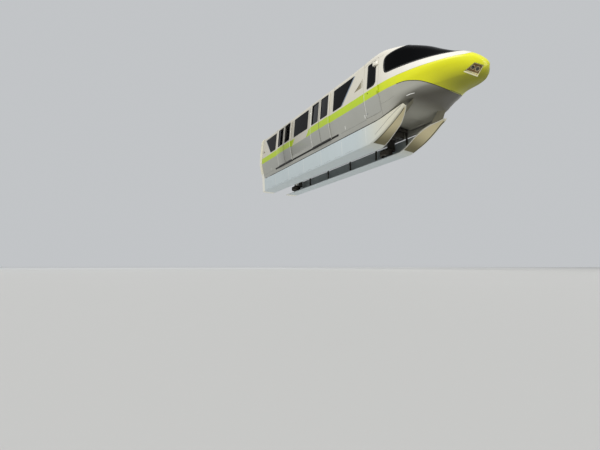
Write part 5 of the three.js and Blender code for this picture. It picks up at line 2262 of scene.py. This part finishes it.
@dataclass
class Inside:
    """Seats, pads and the driver's console."""

    half: float = 0.58
    places: int = 3
    gap: float = 0.006
    bench_seat: tuple[Point2, Point2] = ((0.77, 1.12), (0.545, 0.615))
    bench_back: tuple[Point2, Point2] = ((1.12, 1.168), (0.62, 0.94))
    box_pads: Point2 = (2.45, 2.85)
    box_places: tuple[float, ...] = (-0.39, 0.0, 0.39)
    box_z: Point2 = (0.641, 0.7)
    stem: Line = ((0.0, 0.1456), (0.16, 0.1456), (0.16, 0.165), (0.06, 0.19), (0.05, 0.5), (0.11, 0.53),
                  (0.0, 0.53))
    screens: tuple[float, ...] = (-0.29, 0.0, 0.29)

    @staticmethod
    def pad(shape: Obj, name: str, fill: float = 0.85) -> None:
        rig.padded(fitted(shape, name, Paint.CUSHION, slot="cushion"), fill)

    def build(self) -> None:
        """Builds the saloon's side seats, the pads on the bench boxes and the driver's place."""
        for s in Side:
            self.bench(s)
        for e in End:
            for i, y in enumerate(self.box_places, 1):
                shape = cushion([e * x for x in self.box_pads], (y - 0.185, y + 0.185), self.box_z)
                self.pad(shape, f"bench_pad_{e}_{i}")
        self.driver()

    def bench(self, s: Side) -> None:
        """Builds one side bench: its frame, then a seat pad and a back pad at each place.

        Args:
            s: the side.
        """
        length = (-self.half, self.half)
        frame_parts = [bevelled(block(length, (s * 0.79, s * 1.18), (0.1958, 0.54)), 0.012),
                       bevelled(block(length, (s * 1.17, s * 1.205), (0.395, 0.95)), 0.01)]
        fitted(merged(frame_parts), f"side_bench_frame_{s}", Paint.LINING, nodes=[f"bench_{s}"],
               slot="cushion")
        wide = 2 * self.half / self.places
        for i in range(self.places):
            x = (-self.half + i * wide + self.gap, -self.half + (i + 1) * wide - self.gap)
            for kind, (y, z) in (("seat", self.bench_seat), ("back", self.bench_back)):
                self.pad(cushion(x, [s * v for v in y], z), f"side_{kind}_pad_{s}_{i + 1}")

    def driver(self) -> None:
        """Builds the driver's seat and the console's screens."""
        fitted(turned(self.stem, (5.64, 0.0, 0.0), sides=40), "driver_seat_stem", Paint.CHASSIS,
               nodes=["cab_seat"])
        self.pad(cushion((5.41, 5.87), (-0.23, 0.23), (0.53, 0.64)), "driver_seat_pad", 0.9)
        back = cushion((-0.04, 0.04), (-0.215, 0.215), (0.0, 0.68))
        back.data.transform(Matrix.Translation((5.42, 0.0, 0.645)) @ Matrix.Rotation(-0.1, 4, "Y"))
        self.pad(back, "driver_seat_back", 0.9)
        panel = merged([block((0.0, 0.008), (y - 0.13, y + 0.13), (0.0, 0.17)) for y in self.screens])
        panel.data.transform(Matrix.Translation((6.42, 0.0, 0.772)) @ Matrix.Rotation(1.35, 4, "Y"))
        fitted(panel, "console_screens", Paint.SCREEN)


@dataclass
class CarriedOver:
    """Finishes for the frame's own nodes that stay in view."""

    finishes: dict[str, Paint] = field(default_factory=lambda: {
        "floor_pan": Paint.FLOOR, "rear_end_wall": Paint.LINING, "underframe": Paint.CHASSIS,
        "skirt_rack_right": Paint.CHASSIS, "skirt_rack_left": Paint.CHASSIS,
        "bogie_frame_rear": Paint.CHASSIS, "bogie_frame_front": Paint.CHASSIS,
        "cab_bulkhead": Paint.LINING, "cab_console": Paint.CHASSIS, "bench_box_rear": Paint.LINING,
        "bench_box_front": Paint.LINING,
        **{f"glass_{s}_{place}": Paint.GLASS for s in Side for place in ("middle", "front", "rear")}})

    def build(self) -> None:
        """Gives each node its finish."""
        for name, paint in self.finishes.items():
            node = bpy.data.objects.get(name)
            if node is None:
                LOG.warning("no object for %s", name)
                continue
            node.data.materials.clear()
            node.data.materials.append(paint.value.material())
            LOG.info("%s: kept from the frame", name)


@dataclass
class Stage:
    """Floor, soft lights and the camera at the photograph's angle."""

    floor: float = -5.33
    floor_half: float = 90.0
    near_tone: str = "#C3C2BF"
    far_tone: str = "#F2F2F0"
    near_reach: Point2 = (-16.0, 12.0)
    eye: Point3 = (13.181, -9.155, -5.223)
    forward: Point3 = (-0.8526, 0.5082, 0.1213)
    right: Point3 = (0.512, 0.859, 0.0)
    lens: float = 20.4
    sensor: float = 36.0
    sight: float = 400.0
    sky: str = "#E9ECEF"
    sky_strength: float = 0.66
    aim: Point3 = (2.0, 0.0, 0.5)
    lights: tuple[tuple[str, Point3, float, float], ...] = (
        ("key", (13.0, -12.0, 14.0), 6.0, 2300.0),
        ("front", (24.0, 4.0, 9.0), 8.0, 700.0),
        ("far", (-6.0, 12.0, 9.0), 9.0, 600.0),
    )

    def build(self) -> None:
        """Builds the stage."""
        half = self.floor_half
        corners = window(-half, half, -half, half)
        floor = new_object("pale_floor", [(x, y, self.floor) for x, y in corners], [(0, 1, 2, 3)])
        # The floor is painted darker near the camera, where the lamps fall strongest, and lighter far off: painted
        # shade and painted light.
        pale = Finish("pale_floor", self.far_tone, 0.75, tone=0.01, dust=0.0,
                      zone=Zone(self.near_tone, self.near_reach))
        floor.data.materials.append(pale.material())
        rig.stage(floor)
        self.camera()
        self.lamps()
        world = bpy.data.worlds.new("pale_studio")
        world.use_nodes = True
        back = world.node_tree.nodes["Background"]
        back.inputs["Color"].default_value = linear(self.sky)
        back.inputs["Strength"].default_value = self.sky_strength
        bpy.context.scene.world = world
        bpy.context.scene.view_settings.view_transform = "Standard"

    def camera(self) -> None:
        """Sets the camera up."""
        camera = linked("camera", bpy.data.cameras.new("camera"))
        forward, right = Vector(self.forward).normalized(), Vector(self.right).normalized()
        turn = Matrix((right, right.cross(forward), -forward)).transposed()
        camera.matrix_world = Matrix.Translation(self.eye) @ turn.to_4x4()
        camera.data.lens = self.lens
        camera.data.sensor_width = self.sensor
        camera.data.clip_end = self.sight
        bpy.context.scene.camera = camera

    def lamps(self) -> None:
        """Hangs the soft lights round the car, each turned to the same point."""
        for name, place, size, power in self.lights:
            light = linked(name, bpy.data.lights.new(name, "AREA"))
            light.data.shape = "DISK"
            light.data.size = size
            light.data.energy = power
            turn = (Vector(self.aim) - Vector(place)).to_track_quat("-Z", "Y")
            light.matrix_world = Matrix.Translation(place) @ turn.to_matrix().to_4x4()


def main() -> None:
    """Builds the stage and every sub-assembly in order."""
    logging.basicConfig(level=logging.INFO, format="%(name)s: %(message)s")
    Stage().build()
    hull = Hull()
    cab = Cab(hull)
    skirts = Skirts()
    saloon = Saloon(hull)
    for part in (saloon, Doors(hull), cab, CabDoors(hull, cab), Linings(hull, saloon, cab),
                 EndBand(hull, skirts), EndWall(), skirts, RunningGear(), Inside(), CarriedOver()):
        part.build()
        LOG.info("%s built", type(part).__name__)
    dropped(hull.shell)
    with open("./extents.json", "w", encoding="utf-8") as size_file:
        json.dump({"cad": [list(v) for v in CAD_BOX], "visual": [list(v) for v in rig.bounds()]}, size_file)


if __name__ == "__main__":
    main()
